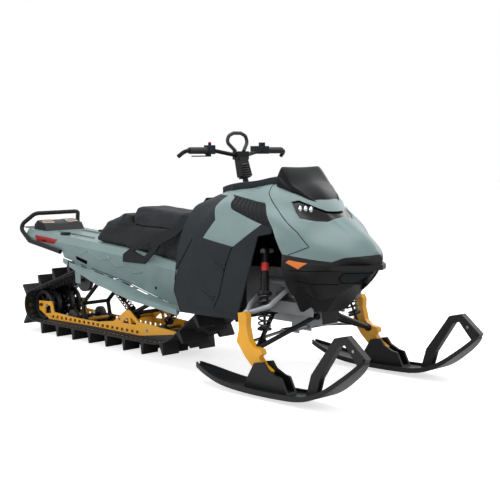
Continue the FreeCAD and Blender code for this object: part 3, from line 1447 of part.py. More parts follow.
def ski_blade():
    """Return the ski's blade: a skin with raised rims and a keel."""
    plan = ski_plan(0)
    sheet = ski_band(S.ski_skin, S.ski_half).common(plan)
    rim = ski_band(S.ski_rim_height, S.ski_half).common(plan.cut(ski_plan(float(S.ski_rim))))
    keel_low = S.runner_radius * 2 + S.touch_gap
    keel_top = S.ski_height * 0.08 + S.ski_skin / 2
    length = S.ski_front + S.ski_rear
    start = S.ski_bolt_x - S.ski_rear + length * 0.22
    corners = [at(start, -S.keel_half, keel_top), at(start + length * 0.05, -S.keel_half, keel_low),
               at(start + length * 0.40, -S.keel_half, keel_low),
               at(start + length * 0.45, -S.keel_half, keel_top)]
    keel = Part.Face(Part.makePolygon(corners + corners[:1])).extrude(at(ZERO, S.keel_half * 2, ZERO))
    return sheet.fuse([rim, keel])


def make_skis():
    """Make the skis with their saddles, loops and runners."""
    offset = at(ZERO, -S.spindle_y, ZERO)
    blade = ski_blade().translated(offset)
    saddle = side_plate("saddle_block", ski_points(SADDLE_SHARES, ZERO), S.saddle_half * 2,
                        -S.spindle_y + S.saddle_half)
    slot_half = S.saddle_half - S.saddle_wall
    slot = block("saddle_slot", (S.ski_bolt_x - S.ski_rear, -S.spindle_y - slot_half,
                                 S.ski_height * 0.08 + S.ski_skin * 1.6),
                 (S.ski_rear * 2, slot_half * 2, S.ski_height))
    walls = cut("saddle_walls", saddle, slot)
    bolt = disc("ski_bolt", S.ski_bolt_x, -S.spindle_y - S.saddle_half, S.ski_bolt_z, S.ski_bolt_radius,
                S.saddle_half * 2)
    ski = fuse("ski_right", [shaped("ski_blade", blade), walls, bolt])
    keep("ski_right", ski)
    keep("ski_left", mirrored("ski_left", ski))
    strap = side_plate("loop_blank", ski_points(LOOP_SHARES, ZERO), S.loop_width,
                       -S.spindle_y + S.loop_width / 2)
    loop = cut("ski_loop_right", strap, ski)
    keep("ski_loop_right", loop)
    keep("ski_loop_left", mirrored("ski_loop_left", loop))
    length = S.ski_front + S.ski_rear
    start = S.ski_bolt_x - S.ski_rear + length * 0.28
    runner = along_x("runner_right", start, -S.spindle_y, S.runner_radius, S.runner_radius, length * 0.33)
    keep("runner_right", runner)
    keep("runner_left", mirrored("runner_left", runner))


def make_tie_rods():
    """Make the steering rack with the two tie rods and their ball ends."""
    bar = disc("rack_bar", S.rack_x, -S.rack_half, S.rack_z, S.rack_radius, S.rack_half * 2)
    items = [bar]
    end_z = S.steer_lug_z - S.tie_clearance - S.tie_ball_radius
    for side, sign in SIDES.items():
        outer = at(S.lower_ball_x - S.steer_arm, S.tie_rod_y * sign, end_z)
        inner = at(S.rack_x, (S.rack_half - S.rack_radius) * sign, S.rack_z)
        items.append(rod(f"tie_rod_{side}", outer, inner, S.tie_rod_radius))
        items.append(ball(f"tie_ball_{side}", outer, S.tie_ball_radius))
    keep("tie_rods", fuse("tie_rods", items))


def make_engine_bay(bulkhead):
    """Make the engine block, the pan under it and the tube frame over it."""
    engine = block("engine", (S.engine_x, -S.engine_width / 2, S.engine_z),
                   (S.engine_length, S.engine_width, S.engine_height))
    keep("engine", engine)
    front = S.tunnel_x + S.tunnel_length * 0.995
    low = S.tunnel_top_z * TUNNEL_FOOT_SHARES[0][1]
    pan_top = S.engine_z - S.touch_gap
    pan = side_plate("belly_pan", [
        (front, low), (front + S.pan_thickness, low), (S.engine_x, pan_top - S.pan_thickness),
        (S.bulkhead_x - S.touch_gap, pan_top - S.pan_thickness), (S.bulkhead_x - S.touch_gap, pan_top),
        (S.engine_x - S.pan_thickness, pan_top), (front, low + S.pan_thickness)],
        S.tunnel_half * 2, S.tunnel_half)
    keep("belly_pan", pan)
    foot, head = post_ends()
    items = []
    for side, sign in SIDES.items():
        tie = at(S.post_foot_x, S.post_radius * 2 * sign, S.post_foot_z)
        items.append(rod(f"frame_front_{side}", tie, at(S.shock_top_x, S.bulkhead_half * sign, S.shock_top_z),
                         S.brace_tube_radius))
        rear_z = S.tunnel_top_z * 0.78 + S.brace_tube_radius
        rear = at(front - S.brace_tube_radius * 4, S.tunnel_half * 0.6 * sign, rear_z)
        items.append(rod(f"frame_rear_{side}", tie, rear, S.brace_tube_radius))
    span = S.post_radius * 4.5
    items.append(block("post_bearing", (S.post_foot_x - span / 2, -span, S.post_foot_z - S.post_radius),
                       (span, span * 2, S.post_radius * 2)))
    bore = rod("bearing_bore", foot - (head - foot) * 0.1, head, S.post_radius + S.touch_gap)
    hoop = cut("frame_hoop_bored", fuse("frame_hoop_whole", items), bore)
    keep("frame_tubes", cut("frame_hoop", hoop, bulkhead))


BRACE_SHARES = [
    (0.017, 0.000), (0.025, 0.153), (0.139, 0.303), (0.861, 0.890), (0.981, 1.000), (1.000, 1.000),
    (1.000, 0.943), (0.880, 0.833), (0.716, 0.577), (0.509, 0.387), (0.462, 0.260), (0.339, 0.063),
    (0.300, 0.000),
]
BRACE_WINDOW_SHARES = [(0.165, 0.225), (0.401, 0.420), (0.420, 0.310), (0.300, 0.130)]


def make_seat_braces():
    """Make the black braces from the tunnel's sides up to the knees."""
    origin = (S.brace_x, S.brace_z)
    spans = (S.brace_length, S.brace_height)
    right = side_plate("brace_right", outline(origin, spans, BRACE_SHARES), S.brace_thickness, -S.tunnel_half,
                       holes=[outline(origin, spans, BRACE_WINDOW_SHARES)])
    keep("seat_braces", group("seat_braces", [right, mirrored("brace_left", right)]))


LINER_SHARES = [(0.336, 0.512, 0.380), (0.764, 0.604, 0.480), (0.900, 0.633, 0.512)]


def make_arch_liners():
    """Make the panels that close the engine bay behind the ski arms."""
    sections = []
    inner = S.engine_width / 2 + S.touch_gap
    out = S.cowl_half
    for up, front, rear in LINER_SHARES:
        z = S.cowl_height * up
        x = S.cowl_x + S.cowl_length * front
        back = S.cowl_x + S.cowl_length * rear
        corners = [at(x, -out, z), at(back, -inner, z), at(back - S.liner_thickness, -inner, z),
                   at(x - S.liner_thickness, -out, z)]
        sections.append(Part.makePolygon(corners + corners[:1]))
    wall = Part.makeLoft(sections, True, True).common(cowl_solid(S.cowl_wall + S.touch_gap))
    keep("arch_liners", shaped("arch_liners", Part.makeCompound(both_sides(wall))))


def bar_points():
    """Return the corners of the handlebar's path from right to left."""
    half = [
        at(S.bar_end_x, -S.bar_half, S.bar_end_z),
        at(S.bar_x, -S.bar_half * 0.965, S.bar_z),
        at(S.bar_x, -S.bar_half * 0.46, S.bar_z),
        at(S.post_head_x, -S.clamp_width * 0.52, S.post_head_z + S.bar_radius),
    ]
    return half + [FreeCAD.Vector(point.x, -point.y, point.z) for point in reversed(half)]


def riser_block():
    """Return the tapered block round the post's upper end."""
    foot, head = post_ends()
    axis = (head - foot).normalize()
    ahead = FreeCAD.Vector(axis.z, 0, -axis.x) * float(S.riser_depth / 2)
    wires = []
    for centre, half in ((foot + axis * float(S.riser_start), S.riser_low_half), (head, S.riser_top_half)):
        side = FreeCAD.Vector(0, float(half), 0)
        corners = [centre + ahead + side, centre + ahead - side, centre - ahead - side, centre - ahead + side]
        wires.append(Part.makePolygon(corners + corners[:1]))
    return Part.makeLoft(wires, True, True)


def make_steering():
    """Make the post with its clamp, the bar, the grips, the controls and the strap loop."""
    foot, head = post_ends()
    post = rod("post", foot - (head - foot) * 0.05, head, S.post_radius)
    low_z = S.post_head_z - S.clamp_height * 0.3
    clamp = block("bar_clamp", (S.post_head_x - S.clamp_depth / 2, -S.clamp_width / 2, low_z),
                  (S.clamp_depth, S.clamp_width, S.clamp_height))
    riser = shaped("post_riser", riser_block())
    bar_shape = bent_tube(bar_points(), S.bar_radius, S.bar_bend)
    groove = shaped("bar_groove", bent_tube(bar_points(), S.bar_radius + S.touch_gap, S.bar_bend))
    keep("steering_post", cut("steering_post", fuse("post_whole", [post, riser, clamp]), groove))
    keep("handlebar", shaped("handlebar", bar_shape))
    sleeve = disc("grip_outer", S.bar_x, -S.bar_half * 0.90, S.bar_z, S.grip_radius, S.grip_length)
    grip = cut("grip_right", sleeve, groove)
    keep("grips", group("grips", [grip, mirrored("grip_left", grip)]))
    make_controls(groove)
    make_strap()


def make_controls(groove):
    """Make the throttle block on the right and the brake block on the left."""
    deep = S.grip_radius * 2.6
    right_y = -S.bar_half * 0.90 + S.grip_length + S.touch_gap
    throttle = block("throttle_block", (S.bar_x - deep / 2, right_y, S.bar_z - deep * 0.45),
                     (deep, deep, deep * 1.1))
    button = upright("stop_button", S.bar_x, right_y + deep / 2, S.bar_z, deep / 5, deep * 0.9)
    lever_z = S.bar_z - deep * 0.75
    lever = block("throttle_lever", (S.bar_x - deep / 4, right_y - S.grip_length * 0.8, lever_z),
                  (deep / 2, S.grip_length * 0.8 + deep / 2, deep * 0.14))
    link = block("throttle_link", (S.bar_x - deep / 4, right_y, lever_z), (deep / 2, deep / 2, deep / 2))
    brake_width = deep * 2.4
    left_y = S.bar_half * 0.90 - S.grip_length - S.touch_gap - brake_width
    brake = block("brake_block", (S.bar_x - deep / 2, left_y, S.bar_z - deep * 0.45),
                  (deep, brake_width, deep))
    tank = upright("brake_reservoir", S.bar_x + deep * 0.1, left_y + deep * 1.5, S.bar_z, deep * 0.42, deep)
    brake_lever = block("brake_lever", (S.bar_x + deep * 0.45, left_y + deep, S.bar_z - deep * 0.3),
                        (deep * 0.35, S.grip_length + deep, deep * 0.2))
    items = [throttle, button, lever, link]
    right = cut("controls_right", fuse("controls_right_whole", items), groove)
    left = cut("controls_left", fuse("controls_left_whole", [brake, tank, brake_lever]), groove)
    keep("control_blocks", group("control_blocks", [right, left]))


def make_strap():
    """Make the loop of strap that stands on the clamp."""
    base = S.post_head_z + S.clamp_height * 0.7
    x = S.strap_x
    half = [
        at(S.post_head_x - S.clamp_depth * 0.2, -S.clamp_width * 0.36, base),
        at(x, -S.strap_half, S.strap_widest_z),
        at(x, -S.strap_half * 0.80, S.strap_top_z - S.strap_radius * 2.4),
        at(x, -S.strap_half * 0.34, S.strap_top_z - S.strap_radius),
    ]
    points = half + [FreeCAD.Vector(point.x, -point.y, point.z) for point in reversed(half)]
    loop = bent_tube(points, S.strap_radius, S.strap_bend)
    top = Part.makeBox(float(S.clamp_depth) * 2, float(S.clamp_width) * 2, float(S.clamp_height),
                       at(S.post_head_x - S.clamp_depth, -S.clamp_width, base - S.clamp_height))
    keep("mountain_strap", shaped("mountain_strap", loop.cut(top)))


def build():
    """Build every sub-part."""
    make_track()
    make_rear_axle()
    make_carrier_wheels()
    make_drive_axle()
    make_rails()
    make_rail_sliders()
    make_rail_wheels()
    make_skid_arms()
    make_skid_shocks()
    make_tunnel()
    make_running_boards()
    make_rear_bumper()
    make_tail()
    make_cargo_anchors()
    make_seat()
    outer = make_cowl()
    make_windshield(outer)
    make_nose_trim(outer)
    bulkhead = make_bulkhead()
    make_ski_arms()
    make_front_shocks()
    make_spindles()
    make_skis()
    make_tie_rods()
    make_engine_bay(bulkhead)
    make_seat_braces()
    make_arch_liners()
    make_steering()


def find_faults():
    """Return what is wrong with the document's objects and sub-parts."""
    faults = [f"{item.Name}: {item.State}" for item in DOC.Objects
              if "Invalid" in item.State or "Error" in item.State]
    for node in NODES:
        if node.Shape.isNull() or not node.Shape.isValid() or not node.Shape.Solids:
            faults.append(f"{node.Label}: no valid solid")
    return faults


def main():
    """Build the model, check it and write one file for each sub-part."""
    build()
    DOC.recompute()
    faults = find_faults()
    for fault in faults:
        print("fault", fault)
    if faults:
        sys.exit(1)
    os.makedirs("parts", exist_ok=True)
    for node in NODES:
        node.Shape.exportStep(f"parts/{node.Label}.step")
        box = node.Shape.BoundBox
        print(f"{node.Label}: solids {len(node.Shape.Solids)}, volume {node.Shape.Volume / 1e6:.3f} litres, "
              f"x {box.XMin:.0f}..{box.XMax:.0f} y {box.YMin:.0f}..{box.YMax:.0f} "
              f"z {box.ZMin:.0f}..{box.ZMax:.0f}")


main()
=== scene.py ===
"""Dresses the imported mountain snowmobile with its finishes, covers, coils and lamps.

Lengths are in metres.  X runs forward, Y to the rider's left and Z up, with the
origin on the snow under the middle of the machine.
"""

import json
import logging
import math
from collections.abc import Callable, Sequence
from dataclasses import dataclass
from enum import Enum

import bmesh
import bpy
from mathutils import Matrix, Vector
from mathutils.bvhtree import BVHTree


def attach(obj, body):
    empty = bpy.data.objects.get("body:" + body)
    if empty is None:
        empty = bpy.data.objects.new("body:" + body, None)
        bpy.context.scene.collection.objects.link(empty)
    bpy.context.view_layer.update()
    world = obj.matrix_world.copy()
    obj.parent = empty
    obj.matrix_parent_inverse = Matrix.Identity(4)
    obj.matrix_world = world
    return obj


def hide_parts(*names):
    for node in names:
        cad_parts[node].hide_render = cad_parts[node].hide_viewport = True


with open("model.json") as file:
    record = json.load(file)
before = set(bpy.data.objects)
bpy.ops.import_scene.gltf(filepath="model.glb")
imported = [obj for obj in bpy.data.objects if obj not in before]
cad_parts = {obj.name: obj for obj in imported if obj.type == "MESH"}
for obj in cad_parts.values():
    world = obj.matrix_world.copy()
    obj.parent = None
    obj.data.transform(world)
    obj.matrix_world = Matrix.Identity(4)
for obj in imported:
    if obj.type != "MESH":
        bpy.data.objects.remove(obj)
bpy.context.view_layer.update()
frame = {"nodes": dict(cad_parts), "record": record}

LOG = logging.getLogger("snowmobile")
Point = tuple[float, float, float]
Place = tuple[float, float]
Colour = tuple[float, float, float]
Shape = bmesh.types.BMesh
Cut = tuple[str, Shape]
Station = tuple[float, list[Place]]
SIDES: dict[str, int] = {"right": -1, "left": 1}
SLOTS: dict[str, str] = {part["node"]: part["material_slot"] for part in frame["record"]["subparts"]}
CLOUD_SCALE = 7.0
GLOSS_DRIFT = 0.06
COAT_ROUGHNESS = 0.08
RELIEF_STRENGTH = 0.8
SHARP_DEGREES = 38
BEVEL_DEGREES = 50
RIM_CREASE = 0.8
WHITE = (1.0, 1.0, 1.0, 1.0)
COWL_CREASES = {2: 0.35, 3: 0.25, 4: 0.2}
SCREEN_CREASES = {1: 0.6, 2: 0.5}
NET_TURNS = 4
LINE_STEP = 0.012
COIL_STEPS = 18
RING_STEPS = 40


class Grain(Enum):
    """The fine relief that a surface shows close up."""

    PLAIN = "plain"
    PEBBLE = "pebble"
    BRUSHED = "brushed"
    CAST = "cast"
    WORN = "worn"
    WEAVE = "weave"


def linear(colour: Colour) -> tuple[float, float, float, float]:
    """Return a screen colour as the light values that a shader takes.

    Args:
        colour: Red, green and blue from 0 to 255 as seen on a screen.

    Returns:
        The same colour in linear light, with an alpha of 1.
    """
    parts = []
    for value in colour:
        share = value / 255
        parts.append(share / 12.92 if share <= 0.04045 else ((share + 0.055) / 1.055) ** 2.4)
    return (parts[0], parts[1], parts[2], 1.0)


def shaded(colour: Colour, factor: float) -> Colour:
    """Return a screen colour made lighter or darker by a factor."""
    red, green, blue = (min(value * factor, 255) for value in colour)
    return (red, green, blue)


def feed(tree: bpy.types.NodeTree, node: bpy.types.Node, inputs: dict[str | int, object]) -> None:
    """Give a shader node its inputs.

    Args:
        tree: The tree that holds the node.
        node: The node.
        inputs: For each input its value, or the socket that feeds it.
    """
    for key, value in inputs.items():
        if isinstance(value, bpy.types.NodeSocket):
            tree.links.new(value, node.inputs[key])
        else:
            node.inputs[key].default_value = value


def add_node(tree: bpy.types.NodeTree, kind: str, inputs: dict[str | int, object]) -> bpy.types.Node:
    """Return a new shader node with its inputs.

    Args:
        tree: The tree that takes the node.
        kind: The node's type.
        inputs: For each input its value, or the socket that feeds it.

    Returns:
        The node.
    """
    node = tree.nodes.new(kind)
    feed(tree, node, inputs)
    return node


@dataclass(frozen=True)
class Finish:
    """One surface finish with its colour, gloss and relief.

    Attributes:
        name: The material's name.
        slot: The record's material slot that the finish belongs to.
        colour: The screen colour.
        roughness: The roughness, from 0, mirror-like, to 1.
        metallic: 1 for bare metal, 0 for the rest.
        coat: The strength of a clear coat.
        grain: The kind of relief.
        scale: Grains per metre.
        depth: The height of the relief in metres.
        drift: How far the colour wanders over the surface.
        sheen: The strength of a cloth-like sheen.
        shine: The level of the mirror-like share of the light.
    """

    name: str
    slot: str
    colour: Colour
    roughness: float = 0.4
    metallic: float = 0.0
    coat: float = 0.0
    grain: Grain = Grain.PLAIN
    scale: float = 900.0
    depth: float = 0.0002
    drift: float = 0.06
    sheen: float = 0.0
    shine: float = 0.5

    def material(self) -> bpy.types.Material:
        """Return the finish as a node material, made once."""
        found = bpy.data.materials.get(self.name)
        return found or self._build()

    def _build(self) -> bpy.types.Material:
        """Build the node material."""
        material = bpy.data.materials.new(self.name)
        material.use_nodes = True
        tree = material.node_tree
        place = tree.nodes.new("ShaderNodeTexCoord").outputs["Object"]
        clouds = add_node(tree, "ShaderNodeTexNoise", {"Scale": CLOUD_SCALE, "Detail": 5.0, "Vector": place})
        tint = add_node(tree, "ShaderNodeValToRGB", {"Fac": clouds.outputs["Fac"]})
        for element, position, way in zip(tint.color_ramp.elements, (0.3, 0.7), (-1, 1)):
            element.position = position
            element.color = linear(shaded(self.colour, 1 + way * self.drift))
        gloss = add_node(tree, "ShaderNodeMapRange", {
            "Value": clouds.outputs["Fac"], "To Min": max(self.roughness - GLOSS_DRIFT, 0.02),
            "To Max": min(self.roughness + GLOSS_DRIFT, 1.0)})
        bump = add_node(tree, "ShaderNodeBump", {
            "Distance": self.depth, "Strength": RELIEF_STRENGTH, "Height": self._relief(tree, place)})
        feed(tree, tree.nodes["Principled BSDF"], {
            "Metallic": self.metallic, "Coat Weight": self.coat, "Coat Roughness": COAT_ROUGHNESS,
            "Specular IOR Level": self.shine, "Sheen Weight": self.sheen,
            "Base Color": tint.outputs["Color"], "Roughness": gloss.outputs["Result"],
            "Normal": bump.outputs["Normal"]})
        return material

    def _relief(self, tree: bpy.types.NodeTree, place: bpy.types.NodeSocket) -> bpy.types.NodeSocket:
        """Return the socket that gives the height of the fine relief.

        Args:
            tree: The material's nodes.
            place: The socket with the place on the piece.

        Returns:
            The height socket.
        """
        if self.grain in (Grain.PEBBLE, Grain.WEAVE):
            cells = add_node(tree, "ShaderNodeTexVoronoi", {"Scale": self.scale, "Vector": place})
            if self.grain is Grain.WEAVE:
                cells.distance = "CHEBYCHEV"
                cells.inputs["Randomness"].default_value = 0.15
            return cells.outputs["Distance"]
        if self.grain is Grain.BRUSHED:
            stretch = add_node(tree, "ShaderNodeMapping", {"Scale": (0.05, 1.0, 1.0), "Vector": place})
            place = stretch.outputs["Vector"]
        detail = 6.0 if self.grain is Grain.CAST else 3.0
        noise = add_node(tree, "ShaderNodeTexNoise", {"Scale": self.scale, "Detail": detail, "Vector": place})
        return noise.outputs["Fac"]


BODY_GREEN = Finish("body_green", "body_paint", (124, 147, 147), 0.46, coat=0.08, scale=400, depth=0.00008,
                    drift=0.025)
TUNNEL_GREEN = Finish("tunnel_green", "tunnel_paint", (124, 145, 145), 0.42, coat=0.1, scale=500,
                      depth=0.0001, drift=0.04)
MATT_BLACK = Finish("matt_black", "black_plastic", (41, 45, 48), 0.6, grain=Grain.PEBBLE, scale=1400,
                    depth=0.00025, drift=0.08, shine=0.12)
GLOSS_BLACK = Finish("gloss_black", "black_gloss", (22, 24, 26), 0.3, scale=200, depth=0.00005, shine=0.12)
SATIN_BLACK = Finish("satin_black", "black_metal", (22, 23, 25), 0.42, grain=Grain.CAST, scale=700,
                     depth=0.0001, shine=0.2)
YELLOW_COAT = Finish("yellow_coat", "yellow_metal", (250, 176, 20), 0.38, coat=0.2, scale=500,
                     depth=0.0001, drift=0.04)
BARE_ALUMINIUM = Finish("bare_aluminium_cast", "bare_aluminium", (164, 167, 171), 0.45, metallic=0.3,
                        grain=Grain.CAST, scale=420, depth=0.0003)
PLAIN_STEEL = Finish("plain_steel", "steel", (160, 160, 162), 0.3, metallic=1.0, grain=Grain.BRUSHED,
                     scale=900)
TRACK_RUBBER = Finish("track_rubber_black", "track_rubber", (17, 18, 19), 0.66, grain=Grain.WORN,
                      scale=260, depth=0.0006, drift=0.18)
WHEEL_RUBBER = Finish("wheel_rubber_black", "wheel_rubber", (34, 35, 37), 0.55, grain=Grain.WORN,
                      scale=300, depth=0.0003, drift=0.12)
SEAT_VINYL = Finish("seat_vinyl", "seat_cover", (36, 38, 41), 0.62, grain=Grain.PEBBLE, scale=520,
                    depth=0.0005, drift=0.07, sheen=0.08, shine=0.12)
SLIDER_BLACK = Finish("slider_black", "slider_plastic", (22, 22, 24), 0.35, scale=500)
AMBER = Finish("amber_reflector", "amber_lens", (244, 128, 22), 0.22, coat=0.5, grain=Grain.PEBBLE,
               scale=260, depth=0.0004, drift=0.03)
CLEAR_LENS = Finish("clear_lens_amber", "clear_lens", (226, 120, 96), 0.18, coat=0.5, grain=Grain.PEBBLE,
                    scale=180, depth=0.0006, drift=0.2)
LAMP_BLACK = Finish("lamp_housing_black", "lamp_black", (12, 13, 14), 0.2, scale=150, shine=0.3)
LAMP_CHROME = Finish("lamp_chrome", "lamp_black", (205, 210, 214), 0.16, metallic=1.0, scale=220,
                     depth=0.0004)
SEAM_BLACK = Finish("seam_black", "black_plastic", (14, 15, 16), 0.8, scale=600, shine=0.05)
VENT_CLOTH = Finish("vent_cloth", "black_plastic", (33, 35, 38), 0.75, grain=Grain.WEAVE, scale=900,
                    depth=0.0004, drift=0.1, sheen=0.1, shine=0.1)
CAST_ENGINE = Finish("cast_engine", "cast_engine", (30, 31, 33), 0.6, metallic=0.3, grain=Grain.CAST,
                     scale=200, depth=0.0006)
SEAT_TOP = Finish("seat_top_vinyl", "seat_cover", (50, 52, 55), 0.66, grain=Grain.PEBBLE, scale=620,
                  shine=0.12)
DEEP_BLACK = Finish("deep_black", "black_plastic", (21, 22, 24), 0.38, grain=Grain.PEBBLE, scale=900,
                    shine=0.3)
BUTTON_RED = Finish("button_red", "black_plastic", (196, 34, 30), 0.35, scale=300, shine=0.4)
STRIP_RED = Finish("strip_red", "amber_lens", (206, 46, 48), 0.35, scale=300, shine=0.4)
LENS_WHITE = Finish("lens_white", "clear_lens", (226, 222, 214), 0.25, scale=300)
SPRING_RED = Finish("spring_dark_red", "spring_steel", (70, 18, 16), 0.35, coat=0.2, scale=400)
RED_BAND = Finish("red_band", "spring_steel", (214, 58, 52), 0.4, scale=300)
SPRING_BLACK = Finish("spring_black", "spring_steel", (20, 20, 22), 0.3, coat=0.3, scale=400)

SLOT_FINISHES: dict[str, Finish] = {finish.slot: finish for finish in (
    BODY_GREEN, TUNNEL_GREEN, MATT_BLACK, GLOSS_BLACK, SATIN_BLACK, YELLOW_COAT, BARE_ALUMINIUM,
    PLAIN_STEEL, TRACK_RUBBER, WHEEL_RUBBER, SEAT_VINYL, SLIDER_BLACK, AMBER, CLEAR_LENS, LAMP_BLACK,
    CAST_ENGINE, SPRING_BLACK)}
NODE_FINISHES: dict[str, Finish] = {
    **dict.fromkeys(("front_fascia", "ski_right", "ski_left", "ski_loop_right", "ski_loop_left",
                     "front_bumper", "belly_pan", "arch_liners", "drive_axle", "snow_flap",
                     "tail_housing"), DEEP_BLACK),
    "side_vents": VENT_CLOTH,
}


def finish_of(node: str) -> Finish:
    """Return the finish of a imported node: its own where it has one, or that of its slot."""
    return NODE_FINISHES.get(node, SLOT_FINISHES[SLOTS[node]])


COWL_STATIONS: list[Station] = [
    (0.020, [(0.000, 0.945), (0.300, 0.925), (0.575, 0.880), (0.825, 0.740), (0.960, 0.520), (0.964, 0.400),
             (0.965, 0.300)]),
    (0.155, [(0.000, 0.985), (0.290, 0.972), (0.600, 0.905), (0.840, 0.740), (0.975, 0.450), (0.983, 0.375),
             (0.985, 0.300)]),
    (0.305, [(0.000, 1.000), (0.330, 0.990), (0.605, 0.945), (0.815, 0.830), (0.985, 0.450), (0.995, 0.375),
             (1.000, 0.300)]),
    (0.455, [(0.000, 1.014), (0.365, 1.008), (0.630, 0.935), (0.815, 0.820), (0.980, 0.450), (0.984, 0.375),
             (0.985, 0.300)]),
    (0.595, [(0.000, 1.026), (0.390, 1.014), (0.655, 0.920), (0.812, 0.800), (0.925, 0.450), (0.929, 0.375),
             (0.930, 0.300)]),
    (0.755, [(0.000, 0.965), (0.320, 0.948), (0.500, 0.890), (0.715, 0.800), (0.755, 0.680), (0.740, 0.586),
             (0.520, 0.475)]),
    (0.855, [(0.000, 0.890), (0.170, 0.880), (0.300, 0.842), (0.600, 0.756), (0.655, 0.660), (0.640, 0.592),
             (0.420, 0.454)]),
    (0.925, [(0.000, 0.842), (0.140, 0.832), (0.245, 0.799), (0.505, 0.727), (0.560, 0.652), (0.540, 0.602),
             (0.250, 0.468)]),
    (0.995, [(0.000, 0.796), (0.110, 0.788), (0.205, 0.765), (0.390, 0.700), (0.405, 0.642), (0.375, 0.608),
             (0.180, 0.510)]),
    (1.055, [(0.000, 0.755), (0.075, 0.750), (0.140, 0.733), (0.275, 0.680), (0.255, 0.634), (0.235, 0.612),
             (0.100, 0.552)]),
    (1.110, [(0.000, 0.690), (0.040, 0.688), (0.075, 0.677), (0.118, 0.656), (0.110, 0.628), (0.102, 0.615),
             (0.035, 0.598)]),
]
WINDSHIELD_STATIONS: list[Station] = [
    (0.590, [(0.000, 1.098), (0.300, 1.092), (0.400, 1.045), (0.400, 0.960)]),
    (0.616, [(0.000, 1.100), (0.305, 1.095), (0.405, 1.042), (0.405, 0.950)]),
    (0.670, [(0.000, 1.045), (0.315, 1.030), (0.390, 1.000), (0.390, 0.930)]),
    (0.713, [(0.000, 1.016), (0.290, 0.999), (0.350, 0.974), (0.350, 0.900)]),
    (0.771, [(0.000, 0.968), (0.210, 0.955), (0.270, 0.940), (0.270, 0.870)]),
    (0.812, [(0.000, 0.905), (0.110, 0.900), (0.135, 0.896), (0.135, 0.830)]),
]
KNEE_TOP = [(0.086, 0.961)]
KNEE_SEAM = [(0.278, 0.958), (0.2675, 0.9025), (0.301, 0.8365), (0.221, 0.7385)]
INSERT_TOP = [(0.311, 0.965)]
VENT_SEAM = [(0.3515, 0.9505), (0.412, 0.8915), (0.631, 0.8245)]
VENT_TOP = [(0.696, 0.810), (0.595, 0.928)]
INSERT_FOOT = [(0.4555, 0.7045)]
PANEL_SEAM = [(0.148, 0.7205), (0.046, 0.5585)]
NOSE_SEAM = [(1.180, 0.687), (1.023, 0.668), (0.976, 0.647), (0.756, 0.681)]
CONSOLE_PLAN = [(0.086, 0.00), (0.086, 0.19), (0.180, 0.26), (0.217, 0.31), (0.600, 0.36), (0.640, 0.00)]
LAMP_OUTLINE = [
    (0.712, 0.935), (0.752, 0.883), (0.782, 0.855), (0.835, 0.839), (0.873, 0.835), (0.893, 0.848),
    (0.912, 0.866), (0.878, 0.882), (0.848, 0.887), (0.783, 0.922), (0.739, 0.942),
]
SIDE_SEAM = [
    (0.545, 1.060), (0.575, 0.977), (0.648, 0.919), (0.736, 0.852), (0.8165, 0.791), (0.884, 0.720),
    (0.840, 0.700), (0.785, 0.675), (0.700, 0.600), (-0.100, 0.600), (-0.100, 1.250), (0.545, 1.250),
]
REFLECTOR_OUTLINE = [(0.777, 0.641), (0.792, 0.653), (0.881, 0.640), (0.832, 0.609)]
SKIN_LINES: dict[str, tuple[list[list[Place]], float, float, Finish]] = {
    "panel_seams": ([
        [(0.6555, 0.7045), (0.6446, 0.690), (0.6266, 0.635), (0.6143, 0.578), (0.592, 0.444), (0.560, 0.385)],
        [(0.3318, 0.728), (0.290, 0.650), (0.238, 0.561), (0.235, 0.500)],
    ], 0.0024, 0.0, SEAM_BLACK),
    "panel_ribs": ([
        [(0.536, 0.6394), (0.618, 0.612)], [(0.518, 0.6125), (0.608, 0.584)],
        [(0.4463, 0.4824), (0.560, 0.4422)], [(0.4681, 0.4532), (0.548, 0.4246)],
    ], 0.006, 0.0, MATT_BLACK),
    "vent_pleats": ([
        [(0.560 + 0.030 * index, 0.9545 - 0.0041 * index), (0.606 + 0.0325 * index, 0.899 - 0.0092 * index)]
        for index in range(8)
    ], 0.0048, 0.0, VENT_CLOTH),
    "fascia_lines": ([
        [(0.985, 0.600), (1.100, 0.600), (1.200, 0.604), (1.285, 0.612)],
        [(0.985, 0.545), (1.080, 0.532), (1.165, 0.530)],
    ], 0.0022, 0.0, SEAM_BLACK),
    "hood_side_lines": ([
        [(0.752, 1.020), (0.779, 0.977), (0.848, 0.919), (0.936, 0.852), (1.0165, 0.791), (1.084, 0.720),
         (1.052, 0.705), (0.985, 0.678)],
    ], 0.0019, 0.0, SEAM_BLACK),
    "hood_lid_lines": ([
        [(0.530, 0.992), (0.600, 0.998), (0.672, 0.999), (0.680, 1.012)],
    ], 0.0014, 0.0003, SEAM_BLACK),
}


def thing_of(name: str, shape: Shape) -> bpy.types.Object:
    """Return a scene object that holds a bmesh, which is freed."""
    mesh = bpy.data.meshes.new(name)
    shape.to_mesh(mesh)
    shape.free()
    thing = bpy.data.objects.new(name, mesh)
    bpy.context.scene.collection.objects.link(thing)
    return thing


def baked(thing: bpy.types.Object) -> Shape:
    """Return the shape of an object after its modifiers, and take the object away."""
    bpy.context.view_layer.update()
    graph = bpy.context.evaluated_depsgraph_get()
    mesh = bpy.data.meshes.new_from_object(thing.evaluated_get(graph))
    bpy.data.objects.remove(thing)
    shape = bmesh.new()
    shape.from_mesh(mesh)
    bpy.data.meshes.remove(mesh)
    return shape


def subdivided(name: str, shape: Shape, levels: int) -> Shape:
    """Return a shape after subdivision, with the given shape freed."""
    thing = thing_of(name, shape)
    soften = thing.modifiers.new("soften", "SUBSURF")
    soften.levels = levels
    soften.render_levels = levels
    soften.boundary_smooth = "PRESERVE_CORNERS"
    return baked(thing)


